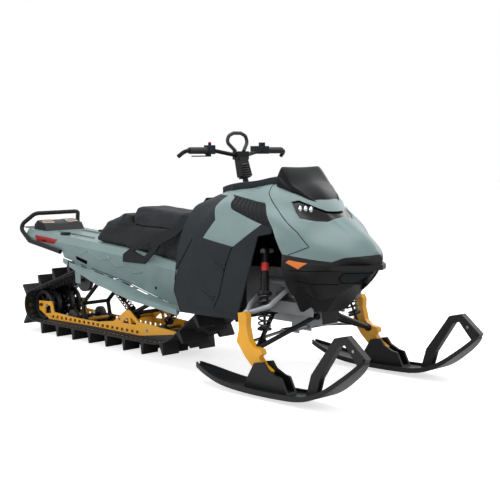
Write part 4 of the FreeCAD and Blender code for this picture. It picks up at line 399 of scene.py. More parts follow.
def carved(name: str, base: Shape, cuts: list[Cut], bevel: float = 0.0) -> Shape:
    """Return a closed shape after a run of cuts.

    Args:
        name: A name for the work piece.
        base: The closed shape to start from; it is freed.
        cuts: For each cut INTERSECT or DIFFERENCE and the closed tool; the tools are freed.
        bevel: The width of the round on the sharp edges, 0 for none.

    Returns:
        The carved shape.
    """
    thing = thing_of(name, base)
    tools = []
    for index, (operation, tool) in enumerate(cuts):
        tools.append(thing_of(f"{name}_tool_{index}", tool))
        step = thing.modifiers.new(f"cut_{index}", "BOOLEAN")
        step.operation = operation
        step.solver = "EXACT"
        step.object = tools[-1]
    if bevel:
        edge = thing.modifiers.new("edge", "BEVEL")
        edge.width = bevel
        edge.segments = 2
        edge.limit_method = "ANGLE"
        edge.angle_limit = math.radians(BEVEL_DEGREES)
    shape = baked(thing)
    for tool in tools:
        bpy.data.objects.remove(tool)
    return shape


def drawn_out(shape: Shape, move: Point) -> Shape:
    """Turn a shape's flat face into a closed solid by drawing it out, and return it."""
    grown = bmesh.ops.extrude_face_region(shape, geom=list(shape.faces))
    moved = [item for item in grown["geom"] if isinstance(item, bmesh.types.BMVert)]
    bmesh.ops.translate(shape, verts=moved, vec=move)
    bmesh.ops.recalc_face_normals(shape, faces=shape.faces)
    return shape


def prism(points: list[Place], half: float, inset: float = 0.0) -> Shape:
    """Return an outline seen from the side as a solid across the machine.

    Args:
        points: The outline's corners as X and Z.
        half: How far the solid reaches to each side.
        inset: How far its sides move in.

    Returns:
        The closed solid.
    """
    shape = bmesh.new()
    face = shape.faces.new([shape.verts.new((x, -half, z)) for x, z in points])
    if inset:
        ring = bmesh.ops.inset_region(shape, faces=[face], thickness=inset, use_boundary=True,
                                      use_even_offset=True)
        bmesh.ops.delete(shape, geom=ring["faces"], context="FACES")
    return drawn_out(shape, (0.0, 2 * half, 0.0))


def turn_to(heading: Vector) -> Matrix:
    """Return the turn that brings the upright axis to a heading."""
    return Vector((0.0, 0.0, 1.0)).rotation_difference(heading).to_matrix().to_4x4()


def tube_into(shape: Shape, points: list[Vector], radius: float, sides: int = 8) -> None:
    """Add a closed tube along points to a shape.

    Args:
        shape: The shape that takes the tube.
        points: The points of the tube's middle.
        radius: The tube's radius.
        sides: How many faces go round it.
    """
    ring = bmesh.ops.create_circle(shape, cap_ends=True, radius=radius, segments=sides)["verts"]
    here = points[0]
    heading = (points[1] - here).normalized()
    bmesh.ops.transform(shape, matrix=Matrix.Translation(here) @ turn_to(heading), verts=ring)
    faces = [next(face for face in ring[0].link_faces if all(vertex in ring for vertex in face.verts))]
    for index, point in enumerate(points[1:], start=1):
        grown = bmesh.ops.extrude_face_region(shape, geom=faces)
        moved = [item for item in grown["geom"] if isinstance(item, bmesh.types.BMVert)]
        faces = [item for item in grown["geom"] if isinstance(item, bmesh.types.BMFace)]
        after = points[index + 1] if index + 1 < len(points) else point + (point - here)
        new_heading = ((point - here).normalized() + (after - point).normalized()).normalized()
        bend = heading.rotation_difference(new_heading).to_matrix().to_4x4()
        bmesh.ops.transform(shape, matrix=Matrix.Translation(point) @ bend @ Matrix.Translation(-here),
                            verts=moved)
        heading, here = new_heading, point


def rod_into(shape: Shape, start: Vector, end: Vector, radius: float, sides: int = 24,
             end_radius: float | None = None) -> None:
    """Add a round bar between two points to a shape.

    Args:
        shape: The shape that takes the bar.
        start: The middle of its first end.
        end: The middle of its last end.
        radius: Its radius.
        sides: How many faces go round it.
        end_radius: Its radius at the last end, where that differs.
    """
    axis = end - start
    bmesh.ops.create_cone(shape, cap_ends=True, segments=sides, radius1=radius,
                          radius2=radius if end_radius is None else end_radius, depth=axis.length,
                          matrix=Matrix.Translation((start + end) / 2) @ turn_to(axis))


def across_into(shape: Shape, middle: Vector, start: float, end: float, radius: float,
                sides: int = 24) -> None:
    """Add a round bar that lies across the machine to a shape.

    Args:
        shape: The shape that takes the bar.
        middle: The place that the bar's axis passes through.
        start: How far its first end lies from there to the rider's left.
        end: How far its last end lies from there to the rider's left.
        radius: Its radius.
        sides: How many faces go round it.
    """
    rod_into(shape, middle + Vector((0.0, start, 0.0)), middle + Vector((0.0, end, 0.0)), radius, sides)


def block_into(shape: Shape, centre: Point, spans: Point, turn: Matrix | None = None,
               edge: float = 0.0) -> None:
    """Add a block to a shape.

    Args:
        shape: The shape that takes the block.
        centre: Its middle.
        spans: Its length, width and height.
        turn: How it is turned.
        edge: The width of its rounded edges.
    """
    size = Matrix.Diagonal((*spans, 1.0))
    whole = Matrix.Translation(centre) @ (turn.to_4x4() if turn else Matrix.Identity(4)) @ size
    corners = bmesh.ops.create_cube(shape, size=1.0, matrix=whole)["verts"]
    if edge:
        edges = list({line for vertex in corners for line in vertex.link_edges})
        bmesh.ops.bevel(shape, geom=edges, offset=edge, offset_type="OFFSET", segments=2, profile=0.5,
                        affect="EDGES", material=-1)


def coil_into(shape: Shape, start: Vector, end: Vector, radius: float, wire: float, turns: float) -> None:
    """Add a coil spring between two points to a shape.

    Args:
        shape: The shape that takes the coil.
        start: The middle of its first turn.
        end: The middle of its last turn.
        radius: The radius of the wire's middle round the axis.
        wire: The wire's radius.
        turns: How many turns it has.
    """
    axis = end - start
    steps = round(turns * COIL_STEPS)
    ring = bmesh.ops.create_circle(shape, cap_ends=True, radius=wire, segments=8)["verts"]
    upright = Matrix.Translation((radius, 0.0, 0.0)) @ Matrix.Rotation(math.pi / 2, 4, "X")
    bmesh.ops.transform(shape, matrix=upright, verts=ring)
    old = set(shape.verts) - set(ring)
    face = ring[0].link_faces[0]
    bmesh.ops.spin(shape, geom=[*ring, *face.edges, face], cent=(0.0, 0.0, 0.0), axis=(0.0, 0.0, 1.0),
                   dvec=(0.0, 0.0, axis.length / steps), angle=math.tau * turns, steps=steps,
                   use_merge=False)
    bmesh.ops.transform(shape, matrix=Matrix.Translation(start) @ turn_to(axis),
                        verts=[vertex for vertex in shape.verts if vertex not in old])


def ring_into(shape: Shape, centre: Vector, outer: float, inner: float, width: float,
              edge: float = 0.004) -> None:
    """Add a ring round an axis along Y to a shape.

    Args:
        shape: The shape that takes the ring.
        centre: Its middle.
        outer: Its outer radius.
        inner: Its inner radius.
        width: Its width.
        edge: The width of the slope at its edges.
    """
    section = [(inner, -width / 2), (outer - edge, -width / 2), (outer, edge - width / 2),
               (outer, width / 2 - edge), (outer - edge, width / 2), (inner, width / 2)]
    corners = [shape.verts.new((centre.x + out, centre.y + across, centre.z)) for out, across in section]
    lines = [shape.edges.new((corners[index], corners[(index + 1) % len(corners)]))
             for index in range(len(corners))]
    bmesh.ops.spin(shape, geom=[*corners, *lines], cent=centre, axis=(0.0, 1.0, 0.0), angle=math.tau,
                   steps=RING_STEPS, use_merge=True)


def sheet_into(shape: Shape, corners: Sequence[Place], wide: int, high: int,
               place: Callable[[float, float], Vector]) -> None:
    """Add a four-cornered sheet that follows a surface to a shape.

    Args:
        shape: The shape that takes the sheet.
        corners: The sheet's four corners.
        wide: How many faces lie along its first edge.
        high: How many faces lie along its second edge.
        place: Gives the point of the surface at a place.
    """
    first, second, third, fourth = (Vector(corner) for corner in corners)
    rows = []
    for row in range(high + 1):
        start, end = first.lerp(fourth, row / high), second.lerp(third, row / high)
        rows.append([shape.verts.new(place(*start.lerp(end, column / wide))) for column in range(wide + 1)])
    for low, top in zip(rows, rows[1:]):
        for column in range(wide):
            shape.faces.new([low[column], low[column + 1], top[column + 1], top[column]])


def spread(corners: Sequence[Place], count: int = 0) -> list[Place]:
    """Return places along a run of corners, with its last corner.

    Args:
        corners: The corners of the run.
        count: How many places each stretch gets, or 0 for one every LINE_STEP.

    Returns:
        The places.
    """
    places = []
    for start, end in zip(corners, corners[1:]):
        steps = count or max(round(math.hypot(end[0] - start[0], end[1] - start[1]) / LINE_STEP), 1)
        for index in range(steps):
            share = index / steps
            places.append((start[0] + (end[0] - start[0]) * share, start[1] + (end[1] - start[1]) * share))
    return [*places, corners[-1]]


def tree_of(node: str) -> BVHTree:
    """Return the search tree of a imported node's surface."""
    shape = bmesh.new()
    shape.from_mesh(frame["nodes"][node].data)
    tree = BVHTree.FromBMesh(shape)
    shape.free()
    return tree


def seen(tree: BVHTree, start: Point, heading: Point, near: Point, lift: float) -> Vector:
    """Return the point of a surface that a ray meets, lifted off it.

    Args:
        tree: The surface's search tree.
        start: Where the ray starts.
        heading: Where it runs to.
        near: The place whose nearest point counts where the ray meets nothing.
        lift: How far the point stands off the surface, against the ray.

    Returns:
        The point.
    """
    hit, normal, _index, _reach = tree.ray_cast(Vector(start), Vector(heading))
    if hit is None:
        hit, normal, _index, _reach = tree.find_nearest(Vector(near))
    if normal.dot(Vector(heading)) > 0:
        normal = -normal
    return hit + normal * lift


def add_piece(name: str, shape: Shape, finish: Finish, smooth: bool = True,
              body: str = "chassis") -> bpy.types.Object:
    """Turn a bmesh into a named piece that rides on a body.

    Args:
        name: The piece's name.
        shape: The shape; it is freed.
        finish: The piece's finish.
        smooth: Whether its faces are shaded smooth.
        body: The body that carries the piece.

    Returns:
        The new object.
    """
    bmesh.ops.recalc_face_normals(shape, faces=shape.faces)
    for face in shape.faces:
        face.smooth = smooth
    piece = thing_of(name, shape)
    if smooth:
        piece.data.set_sharp_from_angle(angle=math.radians(SHARP_DEGREES))
    piece.data.materials.clear()
    piece.data.materials.append(finish.material())
    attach(piece, body)
    LOG.info("piece %s on %s", name, body)
    return piece


def limit_row(row: list[Vector]) -> list[Vector]:
    """Return where a subdivided line settles for a row of its control points."""
    inner = [(before + here * 4 + after) / 6 for before, here, after in zip(row, row[1:], row[2:])]
    return [row[0], *inner, row[-1]]


def limit_net(net: list[list[Vector]]) -> list[list[Vector]]:
    """Return where a subdivided surface settles for a net of its control points."""
    along = [limit_row(row) for row in net]
    turned = [limit_row([row[index] for row in along]) for index in range(len(along[0]))]
    return [[column[index] for column in turned] for index in range(len(net))]


def smooth_skin(stations: list[Station], spans: tuple[float, float, float, float], levels: int,
                creases: dict[int, float], capped: bool = True) -> Shape:
    """Return the smooth open skin through a run of sections.

    Args:
        stations: For each section its place and its right half, from the middle of the top down.
        spans: Where the shares start along X, and the length, half width and height they are of.
        levels: How often the skin is subdivided.
        creases: How sharp each line along the skin is, by its place in the section.
        capped: Whether the front end is closed.

    Returns:
        The skin as an open sheet.
    """
    origin, length, half, height = spans
    target = []
    for along, shares in stations:
        right = [Vector((origin + length * along, -half * out, height * up)) for out, up in shares]
        left = [Vector((point.x, -point.y, point.z)) for point in right[1:]]
        target.append(right[::-1] + left)
    net = [[point.copy() for point in row] for row in target]
    for _turn in range(NET_TURNS):
        settled = limit_net(net)
        net = [[point + (wanted - found) for point, wanted, found in zip(*rows)]
               for rows in zip(net, target, settled)]
    rows, columns = len(net), len(net[0])
    shape = bmesh.new()
    bmesh.ops.create_grid(shape, x_segments=rows - 1, y_segments=columns - 1, size=1)
    place = {}
    for vertex in shape.verts:
        row = round((vertex.co.x + 1) / 2 * (rows - 1))
        column = round((vertex.co.y + 1) / 2 * (columns - 1))
        place[vertex] = abs(column - columns // 2), row
        vertex.co = net[row][column]
    tip = [vertex for vertex, (_line, row) in place.items() if row == rows - 1]
    if capped:
        bmesh.ops.contextual_create(shape, geom=tip)
    layer = shape.edges.layers.float.new("crease_edge")
    for edge in shape.edges:
        first, second = (place[vertex] for vertex in edge.verts)
        if first[0] == second[0]:
            edge[layer] = creases.get(first[0], 0.0)
        elif first[1] == second[1] == rows - 1:
            edge[layer] = RIM_CREASE
    skin = subdivided("skin", shape, levels)
    bmesh.ops.recalc_face_normals(skin, faces=skin.faces)
    top = max(skin.faces, key=lambda face: face.calc_center_median().z)
    if top.normal.z < 0:
        bmesh.ops.reverse_faces(skin, faces=skin.faces)
    return skin


def walled(skin: Shape, rise: float, wall: float) -> Shape:
    """Return a closed shell from an open skin.

    Args:
        skin: The open skin; it is left as it is.
        rise: How far the shell's outside stands above the skin.
        wall: The shell's thickness.

    Returns:
        The closed shell.
    """
    shell = skin.copy()
    shell.normal_update()
    if rise:
        lifts = [(vertex, vertex.normal * rise) for vertex in shell.verts]
        for vertex, lift in lifts:
            vertex.co += lift
    bmesh.ops.solidify(shell, geom=shell.faces[:], thickness=wall)
    bmesh.ops.recalc_face_normals(shell, faces=shell.faces)
    return shell


@dataclass
class Studio:
    """The pale floor, the soft lamps and the camera of the product view."""

    azimuth: float = 0.7955
    elevation: float = 0.0913
    roll: float = -0.0077
    distance: float = 5.74038
    target: Point = (0.42193, 0.0, 0.64932)
    focal_share: float = 1040.66 / 500
    sensor: float = 36.0
    floor_size: float = 60.0
    floor_drop: float = 0.001
    floor_glow: float = 0.66
    sky_light: float = 0.36

    def build(self) -> None:
        """Set up the whole studio."""
        self.set_world()
        self.add_floor()
        self.add_camera()
        self.add_lamps()
        bpy.context.scene.view_settings.view_transform = "Standard"
        LOG.info("studio ready")

    def set_world(self) -> None:
        """Give the world a white look behind the object and a soft level of light."""
        world = bpy.data.worlds.new("studio_world")
        bpy.context.scene.world = world
        world.use_nodes = True
        tree = world.node_tree
        tree.nodes.clear()
        path = tree.nodes.new("ShaderNodeLightPath")
        bright = add_node(tree, "ShaderNodeMath", {
            0: path.outputs["Is Camera Ray"], 1: path.outputs["Is Glossy Ray"]})
        bright.operation = "MAXIMUM"
        soft = add_node(tree, "ShaderNodeBackground", {"Strength": self.sky_light})
        white = add_node(tree, "ShaderNodeBackground", {"Color": WHITE, "Strength": 1.0})
        mix = add_node(tree, "ShaderNodeMixShader", {
            "Fac": bright.outputs["Value"], 1: soft.outputs["Background"], 2: white.outputs["Background"]})
        add_node(tree, "ShaderNodeOutputWorld", {"Surface": mix.outputs["Shader"]})

    def add_floor(self) -> None:
        """Add the pale floor that takes the shadow."""
        shape = bmesh.new()
        bmesh.ops.create_grid(shape, x_segments=1, y_segments=1, size=self.floor_size / 2)
        bmesh.ops.translate(shape, verts=shape.verts, vec=(0.0, 0.0, -self.floor_drop))
        floor = thing_of("studio_floor", shape)
        material = bpy.data.materials.new("studio_floor")
        material.use_nodes = True
        tree = material.node_tree
        path = tree.nodes.new("ShaderNodeLightPath")
        lift = add_node(tree, "ShaderNodeMath", {0: path.outputs["Is Camera Ray"], 1: self.floor_glow})
        lift.operation = "MULTIPLY"
        feed(tree, tree.nodes["Principled BSDF"], {
            "Base Color": (0.93, 0.93, 0.93, 1.0), "Roughness": 0.7, "Emission Color": WHITE,
            "Emission Strength": lift.outputs["Value"]})
        floor.data.materials.append(material)

    def axes(self) -> Matrix:
        """Return the camera's turned axes as a matrix."""
        back = Vector((math.sin(self.azimuth) * math.cos(self.elevation),
                       -math.cos(self.azimuth) * math.cos(self.elevation), math.sin(self.elevation)))
        across = Vector((0.0, 0.0, 1.0)).cross(back).normalized()
        upward = back.cross(across)
        right = across * math.cos(self.roll) + upward * math.sin(self.roll)
        top = upward * math.cos(self.roll) - across * math.sin(self.roll)
        return Matrix((right, top, back)).transposed()

    def add_camera(self) -> None:
        """Place the camera at the product view's angle."""
        data = bpy.data.cameras.new("camera")
        data.sensor_width = self.sensor
        data.sensor_fit = "HORIZONTAL"
        data.lens = self.focal_share * self.sensor
        data.clip_end = 200.0
        camera = bpy.data.objects.new("camera", data)
        turned = self.axes()
        place = Vector(self.target) + turned.col[2] * self.distance
        camera.matrix_world = Matrix.Translation(place) @ turned.to_4x4()
        bpy.context.scene.collection.objects.link(camera)
        bpy.context.scene.camera = camera

    def add_lamps(self) -> None:
        """Hang the large soft lamps round the machine."""
        lamps = (
            ("lamp_top", (0.3, 0.0, 4.6), (0.0, 0.0, 0.4), 4.0, 135.0),
            ("lamp_side", (-1.6, -5.2, 2.4), (0.0, 0.0, 0.5), 3.0, 92.0),
            ("lamp_front", (5.4, -1.4, 2.6), (0.6, 0.0, 0.6), 3.0, 30.0),
            ("lamp_far", (0.5, 5.0, 3.0), (0.0, 0.0, 0.5), 3.0, 60.0),
        )
        for name, place, aim, size, power in lamps:
            data = bpy.data.lights.new(name, "AREA")
            data.shape = "SQUARE"
            data.size = size
            data.energy = power
            lamp = bpy.data.objects.new(name, data)
            lamp.location = place
            heading = Vector(aim) - Vector(place)
            lamp.rotation_euler = heading.to_track_quat("-Z", "Y").to_euler()
            bpy.context.scene.collection.objects.link(lamp)


@dataclass
class Cowl:
    """The smooth panels of the cowl, cut out of one skin."""

    origin: float = 0.200
    length: float = 1.000
    height: float = 1.000
    half: float = 0.400
    wall: float = 0.007
    gap: float = 0.0013
    edge: float = 0.0012
    levels: int = 3
    console_rise: float = 0.032
    console_edge: float = 0.006
    console_foot: float = 0.85
    lamp_depth: float = 0.009
    lens_places: tuple[Place, ...] = ((0.962, 0.903), (0.981, 0.902), (1.000, 0.898))
    lens_radius: float = 0.0185
    lens_stretch: Point = (0.6, 0.62, 1.0)
    reflector_rise: float = 0.004
    reflector_edge: float = 0.0015
    louvre_heights: tuple[float, ...] = (0.548, 0.558, 0.568, 0.578)
    louvre_stops: tuple[float, ...] = (0.012, 0.05, 0.085, 0.118)
    louvre_radius: float = 0.0028
    inlet: tuple[Place, ...] = ((0.008, 0.590), (0.060, 0.590), (0.126, 0.588), (0.130, 0.562),
                                (0.112, 0.538), (0.060, 0.538), (0.008, 0.538))
    inlet_radius: float = 0.0034
    sheet: float = 0.004
    chin_corners: tuple[Point, ...] = ((0.948, -0.232, 0.500), (1.172, -0.095, 0.518),
                                       (1.052, -0.078, 0.378), (0.925, -0.136, 0.372))
    skid_plate: tuple[Point, Point] = ((1.008, 0.0, 0.350), (0.005, 0.118, 0.090))
    shroud_faces: tuple[tuple[Point, ...], ...] = (
        ((0.620, 0.262, 0.600), (0.960, 0.150, 0.600), (0.960, 0.150, 0.780), (0.620, 0.262, 0.850)),
        ((0.700, 0.236, 0.850), (0.960, 0.150, 0.780), (0.950, 0.225, 0.790), (0.720, 0.285, 0.850)),
    )

    def spans(self) -> tuple[float, float, float, float]:
        """Return where the shares start along X, and the length, half width and height they are of."""
        return (self.origin, self.length, self.half, self.height)

    def spot(self, shares: list[Place]) -> list[Place]:
        """Return side-view shares as X and Z."""
        return [(self.origin + self.length * along, self.height * up) for along, up in shares]

    def through(self, shares: list[Place], inset: float = 0.0) -> Shape:
        """Return an outline in side-view shares as a solid that passes through the cowl."""
        return prism(self.spot(shares), self.half * 1.2, inset)

    def outlines(self) -> dict[str, list[Place]]:
        """Return each panel's outline in shares, by the node that it stands for."""
        return {
            "hood": [*KNEE_TOP, (0.086, 1.250), (1.180, 1.250), *NOSE_SEAM, *VENT_TOP, *INSERT_TOP,
                     KNEE_SEAM[0]],
            "front_fascia": [*NOSE_SEAM, (0.736, 0.300), (1.180, 0.300)],
            "side_vents": [*INSERT_TOP, *VENT_SEAM, *VENT_TOP],
            "side_inserts": [*INSERT_TOP, *VENT_SEAM, *INSERT_FOOT, *KNEE_SEAM[::-1]],
            "knee_panels": [(0.030, 1.000), (0.086, 1.000), *KNEE_TOP, *KNEE_SEAM, *PANEL_SEAM,
                            (0.030, 0.5585)],
            "side_panels": [*PANEL_SEAM[::-1], KNEE_SEAM[3], *INSERT_FOOT, VENT_SEAM[2], VENT_TOP[0],
                            (0.691, 0.780), (0.615, 0.765), (0.524, 0.340), (0.075, 0.333), (0.025, 0.447)],
        }

    def console_tool(self, grow: float) -> Shape:
        """Return the console's outline from above as an upright solid, grown on every side."""
        edge = []
        for index, (along, out) in enumerate(CONSOLE_PLAN):
            ahead = grow if index > 3 else -grow if index < 2 else 0.0
            edge.append((self.origin + self.length * along + ahead, self.half * out + (grow if out else 0.0)))
        corners = [(x, -y) for x, y in edge] + [(x, y) for x, y in reversed(edge[1:-1])]
        shape = bmesh.new()
        shape.faces.new([shape.verts.new((x, y, self.height * self.console_foot)) for x, y in corners])
        return drawn_out(shape, (0.0, 0.0, self.height / 2))

    def build(self) -> None:
        """Build every panel of the cowl and what lies on it."""
        skin = smooth_skin(COWL_STATIONS, self.spans(), self.levels, COWL_CREASES)
        self.tree = BVHTree.FromBMesh(skin)
        for node in self.outlines():
            after = []
            if node == "hood":
                after = [("DIFFERENCE", self.through(LAMP_OUTLINE)),
                         ("DIFFERENCE", self.through(SIDE_SEAM, -self.gap / 2))]
            self.add_panel(skin, node, f"{node}_skin", [], after)
            if node == "hood":
                self.add_panel(skin, node, "hood_sides",
                               [("INTERSECT", self.through(SIDE_SEAM, self.gap / 2))], [])
        lid = carved("lid", walled(skin, self.console_rise, self.console_rise + self.wall),
                     [("INTERSECT", self.console_tool(-self.gap))], self.console_edge)
        piece = add_piece("console_lid", lid, finish_of("console"))
        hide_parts("console")
        self.add_lamps(skin)
        for name, (runs, radius, lift, finish) in SKIN_LINES.items():
            self.add_lines(name, runs, radius, lift, finish)
        self.add_shrouds()
        self.add_grille()
        self.add_chin()
        skin.free()
        self.add_windshield()

    def add_panel(self, skin: Shape, node: str, name: str, before: list[Cut], after: list[Cut]) -> None:
        """Cut one panel out of the skin.

        Args:
            skin: The whole skin.
            node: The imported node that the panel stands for.
            name: The panel's name.
            before: Cuts made before the panel's own.
            after: Cuts made after them.
        """
        own = [("INTERSECT", self.through(self.outlines()[node], self.gap)),
               ("DIFFERENCE", self.console_tool(self.gap))]
        panel = carved(name, walled(skin, 0.0, self.wall), [*before, *own, *after], self.edge)
        piece = add_piece(name, panel, finish_of(node))
        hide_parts(node)

    def on_skin(self, along: float, up: float, lift: float) -> Vector:
        """Return the right side's point seen at a place from the side, lifted off the skin."""
        return seen(self.tree, (along, -2.0, up), (0.0, 1.0, 0.0), (along, -0.3, up), lift)

    def on_front(self, across: float, up: float) -> Vector:
        """Return the skin's point seen at a place from the front."""
        return seen(self.tree, (3.0, across, up), (-1.0, 0.0, 0.0), (1.3, across, up), 0.0)

    def add_lamps(self, skin: Shape) -> None:
        """Add the dark headlamps behind the hood's openings, their lenses and the side reflectors."""
        pod = carved("pod", walled(skin, -self.lamp_depth, 0.005),
                     [("INTERSECT", self.through(LAMP_OUTLINE, -0.010))])
        piece = add_piece("headlamp_pods", pod, LAMP_BLACK)
        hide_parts("headlamps")
        lenses = bmesh.new()
        for along, up in self.lens_places:
            spot = self.on_skin(along, up, 0.001 - self.lamp_depth)
            for side in (1, -1):
                ball = bmesh.ops.create_icosphere(lenses, subdivisions=2, radius=self.lens_radius)
                bmesh.ops.scale(lenses, verts=ball["verts"], vec=self.lens_stretch)
                bmesh.ops.translate(lenses, verts=ball["verts"], vec=(spot.x, spot.y * side, spot.z))
        add_piece("headlamp_lenses", lenses, LAMP_CHROME)
        amber = carved("amber", walled(skin, self.reflector_rise, 3 * self.reflector_rise),
                       [("INTERSECT", self.through(REFLECTOR_OUTLINE))], self.reflector_edge)
        piece = add_piece("side_reflectors", amber, AMBER)
        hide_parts("reflectors")

    def add_lines(self, name: str, runs: list[list[Place]], radius: float, lift: float,
                  finish: Finish) -> None:
        """Lay thin raised or sunk lines along both sides of the skin.

        Args:
            name: The piece's name.
            runs: For each line its corners as X and Z.
            radius: The line's radius.
            lift: How far the line's middle stands off the skin.
            finish: The line's finish.
        """
        whole = bmesh.new()
        for corners in runs:
            points = [self.on_skin(x, z, lift) for x, z in spread(corners)]
            for side in (1, -1):
                tube_into(whole, [Vector((point.x, point.y * side, point.z)) for point in points], radius)
        add_piece(name, whole, finish)

    def add_grille(self) -> None:
        """Add the louvres and the frame of the nose's air inlet."""
        louvres = bmesh.new()
        frames = bmesh.new()
        for side in (1, -1):
            for up in self.louvre_heights:
                tube_into(louvres, [self.on_front(across * side, up) for across in self.louvre_stops],
                          self.louvre_radius, 6)
            tube_into(frames, [self.on_front(across * side, up) for across, up in self.inlet],
                      self.inlet_radius, 6)
        add_piece("nose_louvres", louvres, MATT_BLACK)
        add_piece("nose_frames", frames, SEAM_BLACK)

    def add_chin(self) -> None:
        """Add the dark chin that closes the nose down to its skid plate."""
        shape = bmesh.new()
        _back, front, tip, _foot = self.chin_corners
        for side in (1, -1):
            shape.faces.new([shape.verts.new((x, y * side, z)) for x, y, z in self.chin_corners])
        middle = [front, (front[0], -front[1], front[2]), (tip[0], -tip[1], tip[2]), tip]
        shape.faces.new([shape.verts.new(corner) for corner in middle])
        bmesh.ops.remove_doubles(shape, verts=shape.verts, dist=0.0001)
        bmesh.ops.recalc_face_normals(shape, faces=shape.faces)
        bmesh.ops.solidify(shape, geom=shape.faces[:], thickness=self.sheet)
        block_into(shape, *self.skid_plate, edge=0.0015)
        add_piece("chin_cover", shape, DEEP_BLACK, False)

    def add_shrouds(self) -> None:
        """Add the dark inner panels that close the bay behind the ski shocks."""
        shape = bmesh.new()
        for side in SIDES.values():
            for corners in self.shroud_faces:
                shape.faces.new([shape.verts.new((x, y * side, z)) for x, y, z in corners])
        bmesh.ops.solidify(shape, geom=shape.faces[:], thickness=self.sheet)
        add_piece("bay_shrouds", shape, SEAM_BLACK, False)

    def add_windshield(self) -> None:
        """Add the dark screen in front of the gauge as a smooth shell."""
        skin = smooth_skin(WINDSHIELD_STATIONS, self.spans(), self.levels, SCREEN_CREASES, False)
        piece = add_piece("screen_shell", walled(skin, 0.0, self.wall), GLOSS_BLACK)
        skin.free()
        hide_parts("windshield")


@dataclass
class Seat:
    """The seat's bench and its lower pad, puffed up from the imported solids."""

    shrink: float = 0.004
    pressure: float = 4.0
    stiffness: float = 25.0
    frames: int = 20
    smooth_turns: int = 5
    channel_half: float = 0.006
    channel_depth: float = 0.004
    upright: float = 0.6

    def build(self) -> None:
        """Build the pads with their seams."""
        self.add_pad("seat", "bench_cushion", 0.008, 0.010, 0.80, SEAT_TOP)
        self.add_pad("seat_base", "lower_cushion", 0.010, 0.008, 0.70, SEAT_VINYL)

    def add_pad(self, node: str, name: str, voxel: float, cap: float, seam: float, finish: Finish) -> None:
        """Build one pad.

        Args:
            node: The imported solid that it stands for.
            name: The piece's name.
            voxel: The size of the remesh.
            cap: How far a point may move.
            seam: The seam's height as a share of the pad's.
            finish: The pad's finish.
        """
        shape = bmesh.new()
        shape.from_mesh(frame["nodes"][node].data)
        bmesh.ops.remove_doubles(shape, verts=shape.verts, dist=0.00002)
        bmesh.ops.recalc_face_normals(shape, faces=shape.faces)
        shape.normal_update()
        thing = thing_of(f"{name}_start", shape)
        grid = thing.modifiers.new("grid", "REMESH")
        grid.mode = "VOXEL"
        grid.voxel_size = voxel
        shape = baked(thing)
        for _turn in range(self.smooth_turns):
            bmesh.ops.smooth_vert(shape, verts=shape.verts, factor=0.5, use_axis_x=True, use_axis_y=True,
                                  use_axis_z=True)
        shape.normal_update()
        for vertex, way in [(vertex, vertex.normal.copy()) for vertex in shape.verts]:
            vertex.co -= way * self.shrink
        rest = [vertex.co.copy() for vertex in shape.verts]
        shape = self.puffed(name, shape)
        shape.verts.ensure_lookup_table()
        for vertex, start in zip(shape.verts, rest):
            move = vertex.co - start
            if move.length > cap:
                vertex.co = start + move.normalized() * cap
        self.draw_in(shape, seam)
        piece = add_piece(name, subdivided(f"{name}_fine", shape, 1), finish)
        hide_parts(node)

    def puffed(self, name: str, shape: Shape) -> Shape:
        """Return a pad after cloth simulation has blown it up."""
        thing = thing_of(f"{name}_cloth", shape)
        cloth = thing.modifiers.new("cloth", "CLOTH")
        cloth.settings.use_pressure = True
        cloth.settings.uniform_pressure_force = self.pressure
        cloth.settings.effector_weights.gravity = 0.0
        cloth.settings.quality = 4
        cloth.settings.tension_stiffness = self.stiffness
        cloth.settings.compression_stiffness = self.stiffness
        cloth.point_cache.frame_start = 1
        cloth.point_cache.frame_end = self.frames
        scene = bpy.context.scene
        for number in range(1, self.frames + 1):
            scene.frame_set(number)
        blown = baked(thing)
        scene.frame_set(1)
        return blown

    def draw_in(self, shape: Shape, seam: float) -> None:
        """Draw a sewn channel round a pad at a share of its height."""
        heights = [vertex.co.z for vertex in shape.verts]
        low, high = min(heights), max(heights)
        line = low + (high - low) * seam
        shape.normal_update()
        for vertex in shape.verts:
            near = math.exp(-((vertex.co.z - line) / self.channel_half) ** 2)
            if abs(vertex.normal.z) < self.upright:
                vertex.co -= vertex.normal * near * self.channel_depth


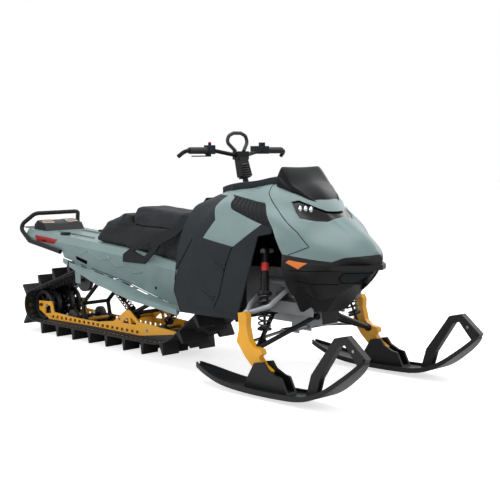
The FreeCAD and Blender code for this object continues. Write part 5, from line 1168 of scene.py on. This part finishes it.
@dataclass
class Shocks:
    """The coil springs, and the shocks of the rear suspension."""

    ski_top: Point = (0.786, 0.250, 0.683)
    ski_foot: Point = (0.8934, 0.3665, 0.2435)
    ski_coil: Place = (0.492, 0.848)
    ski_coil_radius: float = 0.031
    ski_wire: float = 0.0045
    ski_turns: float = 6.5
    band: Place = (0.135, 0.225)
    band_radius: float = 0.0206
    threads: int = 9
    thread_start: float = 0.30
    thread_pitch: float = 0.016
    thread_width: float = 0.007
    thread_radius: float = 0.0222
    skid_lines: tuple[tuple[Point, Point], ...] = (
        ((-0.854, 0.0, 0.369), (-0.596, 0.0, 0.172)), ((-0.085, 0.0, 0.395), (-0.330, 0.0, 0.128)))
    body_radius: float = 0.017
    body_end: float = 0.55
    rod_radius: float = 0.007
    rod_start: float = 0.50
    eye_radius: float = 0.020
    eye_width: float = 0.026
    plates: Place = (0.20, 0.80)
    plate_width: float = 0.02
    skid_coil: Place = (0.225, 0.795)
    coil_radius: float = 0.026
    wire: float = 0.004
    turns: float = 7.0

    def build(self) -> None:
        """Build the springs and the shocks."""
        self.add_ski_coils()
        self.add_skid_shocks()

    def add_ski_coils(self) -> None:
        """Add the coils over the ski shocks and their red bands."""
        coils = bmesh.new()
        bands = bmesh.new()
        threads = bmesh.new()
        for side in SIDES.values():
            top = Vector((self.ski_top[0], self.ski_top[1] * side, self.ski_top[2]))
            foot = Vector((self.ski_foot[0], self.ski_foot[1] * side, self.ski_foot[2]))
            axis = foot - top
            coil_into(coils, *(top + axis * share for share in self.ski_coil), self.ski_coil_radius,
                      self.ski_wire, self.ski_turns)
            rod_into(bands, *(top + axis * share for share in self.band), self.band_radius, 28)
            for index in range(self.threads):
                ring = top + axis * (self.thread_start + self.thread_pitch * index)
                rod_into(threads, ring, ring + axis * self.thread_width, self.thread_radius)
        piece = add_piece("ski_shock_coils", coils, SPRING_BLACK)
        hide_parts("front_springs")
        add_piece("ski_shock_bands", bands, RED_BAND)
        add_piece("ski_shock_threads", threads, SATIN_BLACK)

    def add_skid_shocks(self) -> None:
        """Add the two shocks inside the belt with their coils."""
        bodies = bmesh.new()
        coils = bmesh.new()
        reach = Vector((0.0, self.eye_width / 2, 0.0))
        for start, end in self.skid_lines:
            top, foot = Vector(start), Vector(end)
            axis = foot - top
            for eye in (top, foot):
                rod_into(bodies, eye - reach, eye + reach, self.eye_radius)
            rod_into(bodies, top, top + axis * self.body_end, self.body_radius)
            rod_into(bodies, top + axis * self.rod_start, foot, self.rod_radius)
            for share in self.plates:
                rod_into(bodies, top + axis * share, top + axis * (share + self.plate_width),
                         self.coil_radius + self.wire)
            coil_into(coils, *(top + axis * share for share in self.skid_coil), self.coil_radius, self.wire,
                      self.turns)
        piece = add_piece("skid_shock_bodies", bodies, SATIN_BLACK)
        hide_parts("skid_shocks")
        add_piece("skid_shock_coils", coils, SPRING_RED)


@dataclass
class Belt:
    """The belt's inner cleats and clips, and the spoked wheels that it runs round."""

    circles: tuple[Point, ...] = (
        (-1.449, 0.178, 0.100), (-0.215, 0.428, 0.350), (0.115, 0.360, 0.099), (-0.906, 0.390, 0.072))
    pitch: float = 0.04445
    cleat_y: float = 0.077
    cleat: Point = (0.022, 0.012, 0.016)
    cleat_depth: float = 0.009
    clip_y: float = 0.155
    clip: Point = (0.005, 0.030, 0.024)
    clip_depth: float = 0.0012
    wheel_starts: Place = (0.040, 0.096)
    wheel_width: float = 0.026
    tyre_depth: float = 0.022
    rim: Point = (0.0215, 0.028, 0.016)
    hub: Place = (0.024, 0.014)
    spokes: int = 6
    spoke: Point = (0.056, 0.010, 0.014)
    spoke_middle: float = 0.048
    spoke_edge: float = 0.002
    play: float = 0.0003
    sprocket_run: int = 4
    axle: Place = (0.010, 0.150)

    def runs(self) -> list[tuple[str, float, list[float]]]:
        """Return the belt line's arcs and straight runs with their lengths."""
        angles = []
        for here, after in zip(self.circles, self.circles[1:] + self.circles[:1]):
            reach = math.hypot(after[0] - here[0], after[1] - here[1])
            heading = math.atan2(after[1] - here[1], after[0] - here[0])
            angles.append(heading - math.acos((here[2] - after[2]) / reach))
        found = []
        for index, (x, z, radius) in enumerate(self.circles):
            begin, end = angles[index - 1], angles[index]
            while end < begin:
                end += math.tau
            found.append(("arc", radius * (end - begin), [x, z, radius, begin, end]))
            far_x, far_z, far_radius = self.circles[(index + 1) % len(self.circles)]
            start = (x + radius * math.cos(end), z + radius * math.sin(end))
            stop = (far_x + far_radius * math.cos(end), far_z + far_radius * math.sin(end))
            found.append(("line", math.dist(start, stop), [*start, *stop, end]))
        return found

    def stations(self) -> list[tuple[float, float, float, bool]]:
        """Return places along the belt's inside: X, Z, the outward angle and whether a sprocket is there."""
        found = self.runs()
        total = sum(run[1] for run in found)
        count = round(total / self.pitch)
        places = []
        for index in range(count):
            distance = total * index / count
            for number, (kind, length, values) in enumerate(found):
                if distance <= length:
                    break
                distance -= length
            share = distance / length
            if kind == "arc":
                angle = values[3] + (values[4] - values[3]) * share
                x = values[0] + values[2] * math.cos(angle)
                z = values[1] + values[2] * math.sin(angle)
            else:
                angle = values[4]
                x = values[0] + (values[2] - values[0]) * share
                z = values[1] + (values[3] - values[1]) * share
            places.append((x, z, angle, number == self.sprocket_run))
        return places

    def build(self) -> None:
        """Build the cleats, the clips and the wheels."""
        cleats = bmesh.new()
        clips = bmesh.new()
        for x, z, angle, driven in self.stations():
            turn = Matrix.Rotation(-angle, 3, "Y")
            inward = Vector((-math.cos(angle), 0.0, -math.sin(angle)))
            for side in SIDES.values():
                if not driven:
                    spot = Vector((x, self.cleat_y * side, z)) + inward * self.cleat_depth
                    block_into(cleats, spot, self.cleat, turn)
                spot = Vector((x, self.clip_y * side, z)) + inward * self.clip_depth
                block_into(clips, spot, self.clip, turn)
        add_piece("belt_cleats", cleats, TRACK_RUBBER, False)
        add_piece("belt_clips", clips, PLAIN_STEEL, False)
        self.add_idlers()

    def add_idlers(self) -> None:
        """Add the rear wheels with their tyres, spokes and hub caps."""
        x, z, radius = self.circles[0]
        tyres = bmesh.new()
        spokes = bmesh.new()
        for side in SIDES.values():
            for start in self.wheel_starts:
                middle = Vector((x, (start + self.wheel_width / 2) * side, z))
                ring_into(tyres, middle, radius - self.play, radius - self.tyre_depth, self.wheel_width)
                ring_into(spokes, middle, radius - self.rim[0], radius - self.rim[1], self.rim[2],
                          self.spoke_edge)
                across_into(spokes, middle, -self.hub[1], self.hub[1], self.hub[0], 28)
                for index in range(self.spokes):
                    turn = Matrix.Rotation(math.tau * index / self.spokes, 3, "Y")
                    spot = middle + turn @ Vector((self.spoke_middle, 0.0, 0.0))
                    block_into(spokes, spot, self.spoke, turn, self.spoke_edge)
        across_into(spokes, Vector((x, 0.0, z)), -self.axle[1], self.axle[1], self.axle[0])
        add_piece("idler_tyres", tyres, WHEEL_RUBBER)
        piece = add_piece("idler_spokes", spokes, SLIDER_BLACK)
        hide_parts("rear_axle")


@dataclass
class Deck:
    """The tunnel's reflectors, folds and lamps, and the small parts of bar, skis and rails."""

    side: float = 0.400
    strip: tuple[Place, ...] = ((-1.393, 0.657), (-1.132, 0.638), (-1.161, 0.610), (-1.350, 0.618))
    slot: tuple[Place, ...] = ((-0.925, 0.548), (-0.800, 0.522), (-0.806, 0.500), (-0.915, 0.526))
    folds: tuple[tuple[Place, ...], ...] = (
        ((-0.960, 0.600), (-0.860, 0.565), (-0.800, 0.585)),
        ((-0.790, 0.585), (-0.665, 0.540), (-0.560, 0.555)),
        ((-0.600, 0.570), (-0.500, 0.510), (-0.410, 0.520)),
        ((-0.450, 0.545), (-0.350, 0.482), (-0.260, 0.492)),
    )
    fold_radius: float = 0.0056
    fold_depth: float = 0.001
    pivot: Place = (-0.133, 0.411)
    pivot_radius: float = 0.009
    plate: float = 0.001
    lamp_ring: tuple[Place, ...] = ((-1.437, 0.060), (-1.430, 0.126), (-1.400, 0.134), (-1.392, 0.058))
    lamp_core: tuple[Place, ...] = ((-1.430, 0.070), (-1.425, 0.118), (-1.406, 0.124), (-1.399, 0.068))
    lamp_lift: float = 0.0016
    lamp_radius: float = 0.0032
    grip: Point = (0.328, 0.236, 1.197)
    grip_ribs: int = 12
    grip_pitch: float = 0.0098
    grip_rib: tuple[float, float, float, float] = (0.0184, 0.0160, 0.0055, 0.0012)
    post: tuple[Point, Point] = ((0.436, 0.0, 0.880), (0.355, 0.0, 1.160))
    boot_ribs: int = 6
    boot_start: float = 0.60
    boot_pitch: float = 0.045
    boot_width: float = 0.024
    boot_radii: Place = (0.036, 0.030)
    button_span: Place = (-0.001, 0.006)
    button_radii: Place = (0.0085, 0.0075)
    rail_bolts: tuple[Place, ...] = ((-0.854, 0.190), (-0.600, 0.172), (-0.330, 0.128), (-1.150, 0.140),
                                     (-1.390, 0.178), (-0.150, 0.100))
    rail_y: float = 0.1345
    nut: Place = (0.005, 0.0085)
    washer: Place = (0.0015, 0.0115)
    bolt_head: Place = (0.003, 0.007)
    loop_bolt: Point = (1.552, 0.449, 0.294)
    loop_half: float = 0.018

    def build(self) -> None:
        """Build every small part."""
        self.tree = tree_of("tunnel")
        self.add_plates("side_strips", self.strip, 0.0040, STRIP_RED)
        self.add_plates("side_slots", self.slot, 0.0012, SEAM_BLACK)
        self.add_folds()
        self.add_tail_lamps()
        self.add_bar_parts()
        self.add_bolts()

    def on_side(self, along: float, up: float, side: int, lift: float) -> Vector:
        """Return a point on the tunnel's side, lifted off it."""
        start, heading = Vector((along, side, up)), Vector((0.0, -side, 0.0))
        hit, _normal, _index, _reach = self.tree.ray_cast(start, heading)
        reach = abs(hit.y) if hit else self.side / 2
        return Vector((along, side * (reach + lift), up))

    def add_plates(self, name: str, corners: tuple[Place, ...], depth: float, finish: Finish) -> None:
        """Add a thin plate to each side of the tunnel.

        Args:
            name: The piece's name.
            corners: Its corners as X and Z.
            depth: How far it stands out.
            finish: Its finish.
        """
        shape = bmesh.new()
        for side in (1, -1):
            sheet_into(shape, corners, 16, 6, lambda x, z: self.on_side(x, z, side, depth))
        bmesh.ops.solidify(shape, geom=shape.faces[:], thickness=self.plate)
        add_piece(name, shape, finish, False)

    def add_folds(self) -> None:
        """Add the pressed folds and the pivot hole of the tunnel's sides."""
        folds = bmesh.new()
        holes = bmesh.new()
        for side in (1, -1):
            for corners in self.folds:
                points = [self.on_side(x, z, side, -self.fold_depth) for x, z in spread(corners, 4)]
                tube_into(folds, points, self.fold_radius)
            across_into(holes, self.on_side(*self.pivot, side, 0.0), -0.004 * side, 0.0012 * side,
                        self.pivot_radius)
        add_piece("tunnel_folds", folds, TUNNEL_GREEN)
        add_piece("tunnel_holes", holes, SEAM_BLACK)

    def add_tail_lamps(self) -> None:
        """Add the outlined lenses on the tail lamp's slope."""
        outlines = bmesh.new()
        lenses = bmesh.new()
        tree = tree_of("tail_housing")

        def top(x: float, y: float) -> Vector:
            """Return the housing's point seen at a place from above, lifted off it."""
            return seen(tree, (x, y, 2.0), (0.0, 0.0, -1.0), (x, y, 0.73), self.lamp_lift)

        for side in (1, -1):
            ring = spread([*self.lamp_ring, self.lamp_ring[0]], 6)
            tube_into(outlines, [top(x, y * side) for x, y in ring], self.lamp_radius)
            sheet_into(lenses, [(x, y * side) for x, y in self.lamp_core], 8, 4, top)
        bmesh.ops.solidify(lenses, geom=lenses.faces[:], thickness=self.plate)
        add_piece("tail_lamp_outlines", outlines, LENS_WHITE)
        add_piece("tail_lamp_lenses", lenses, CLEAR_LENS, False)

    def add_bar_parts(self) -> None:
        """Add the grips' ribs, the post's rubber boot and the stop button."""
        ribs = bmesh.new()
        x, y, z = self.grip
        for side in (1, -1):
            for index in range(self.grip_ribs):
                middle = Vector((x, side * (y + self.grip_pitch * index), z))
                ring_into(ribs, middle, *self.grip_rib)
        foot, head = (Vector(end) for end in self.post)
        for index in range(self.boot_ribs):
            start = foot + (head - foot) * (self.boot_start + self.boot_pitch * index)
            rod_into(ribs, start, start + (head - foot) * self.boot_width, self.boot_radii[0], 28,
                     self.boot_radii[1])
        add_piece("grip_ribs", ribs, WHEEL_RUBBER, body="steering")
        corners = [vertex.co for vertex in frame["nodes"]["control_blocks"].data.vertices if vertex.co.y < 0]
        peak = max(corner.z for corner in corners)
        tops = [corner for corner in corners if corner.z > peak - 0.001]
        middle = sum(tops, Vector()) / len(tops)
        button = bmesh.new()
        rod_into(button, *(middle + Vector((0.0, 0.0, rise)) for rise in self.button_span),
                 self.button_radii[0], end_radius=self.button_radii[1])
        add_piece("stop_button", button, BUTTON_RED, body="steering")

    def add_bolts(self) -> None:
        """Add the bolt heads of the rails and the ski loops."""
        rails = bmesh.new()
        for side in (1, -1):
            for x, z in self.rail_bolts:
                spot = Vector((x, self.rail_y * side, z))
                across_into(rails, spot, 0.0, self.nut[0] * side, self.nut[1], 6)
                across_into(rails, spot, 0.0, self.washer[0] * side, self.washer[1], 20)
        add_piece("rail_bolts", rails, PLAIN_STEEL, False)
        x, y, z = self.loop_bolt
        for name, middle in SIDES.items():
            bolts = bmesh.new()
            for face in (1, -1):
                spot = Vector((x, middle * y + face * self.loop_half, z))
                across_into(bolts, spot, 0.0, self.bolt_head[0] * face, self.bolt_head[1], 20)
            add_piece(f"loop_bolts_{name}", bolts, PLAIN_STEEL, False, f"{name}_ski")


def dress_nodes() -> None:
    """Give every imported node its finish."""
    for node in SLOTS:
        mesh = frame["nodes"][node].data
        mesh.materials.clear()
        mesh.materials.append(finish_of(node).material())


def main() -> None:
    """Dress the machine and set up its studio."""
    logging.basicConfig(level=logging.INFO)
    dress_nodes()
    for assembly in (Studio(), Cowl(), Shocks(), Belt(), Deck(), Seat()):
        assembly.build()


if __name__ == "__main__":
    main()
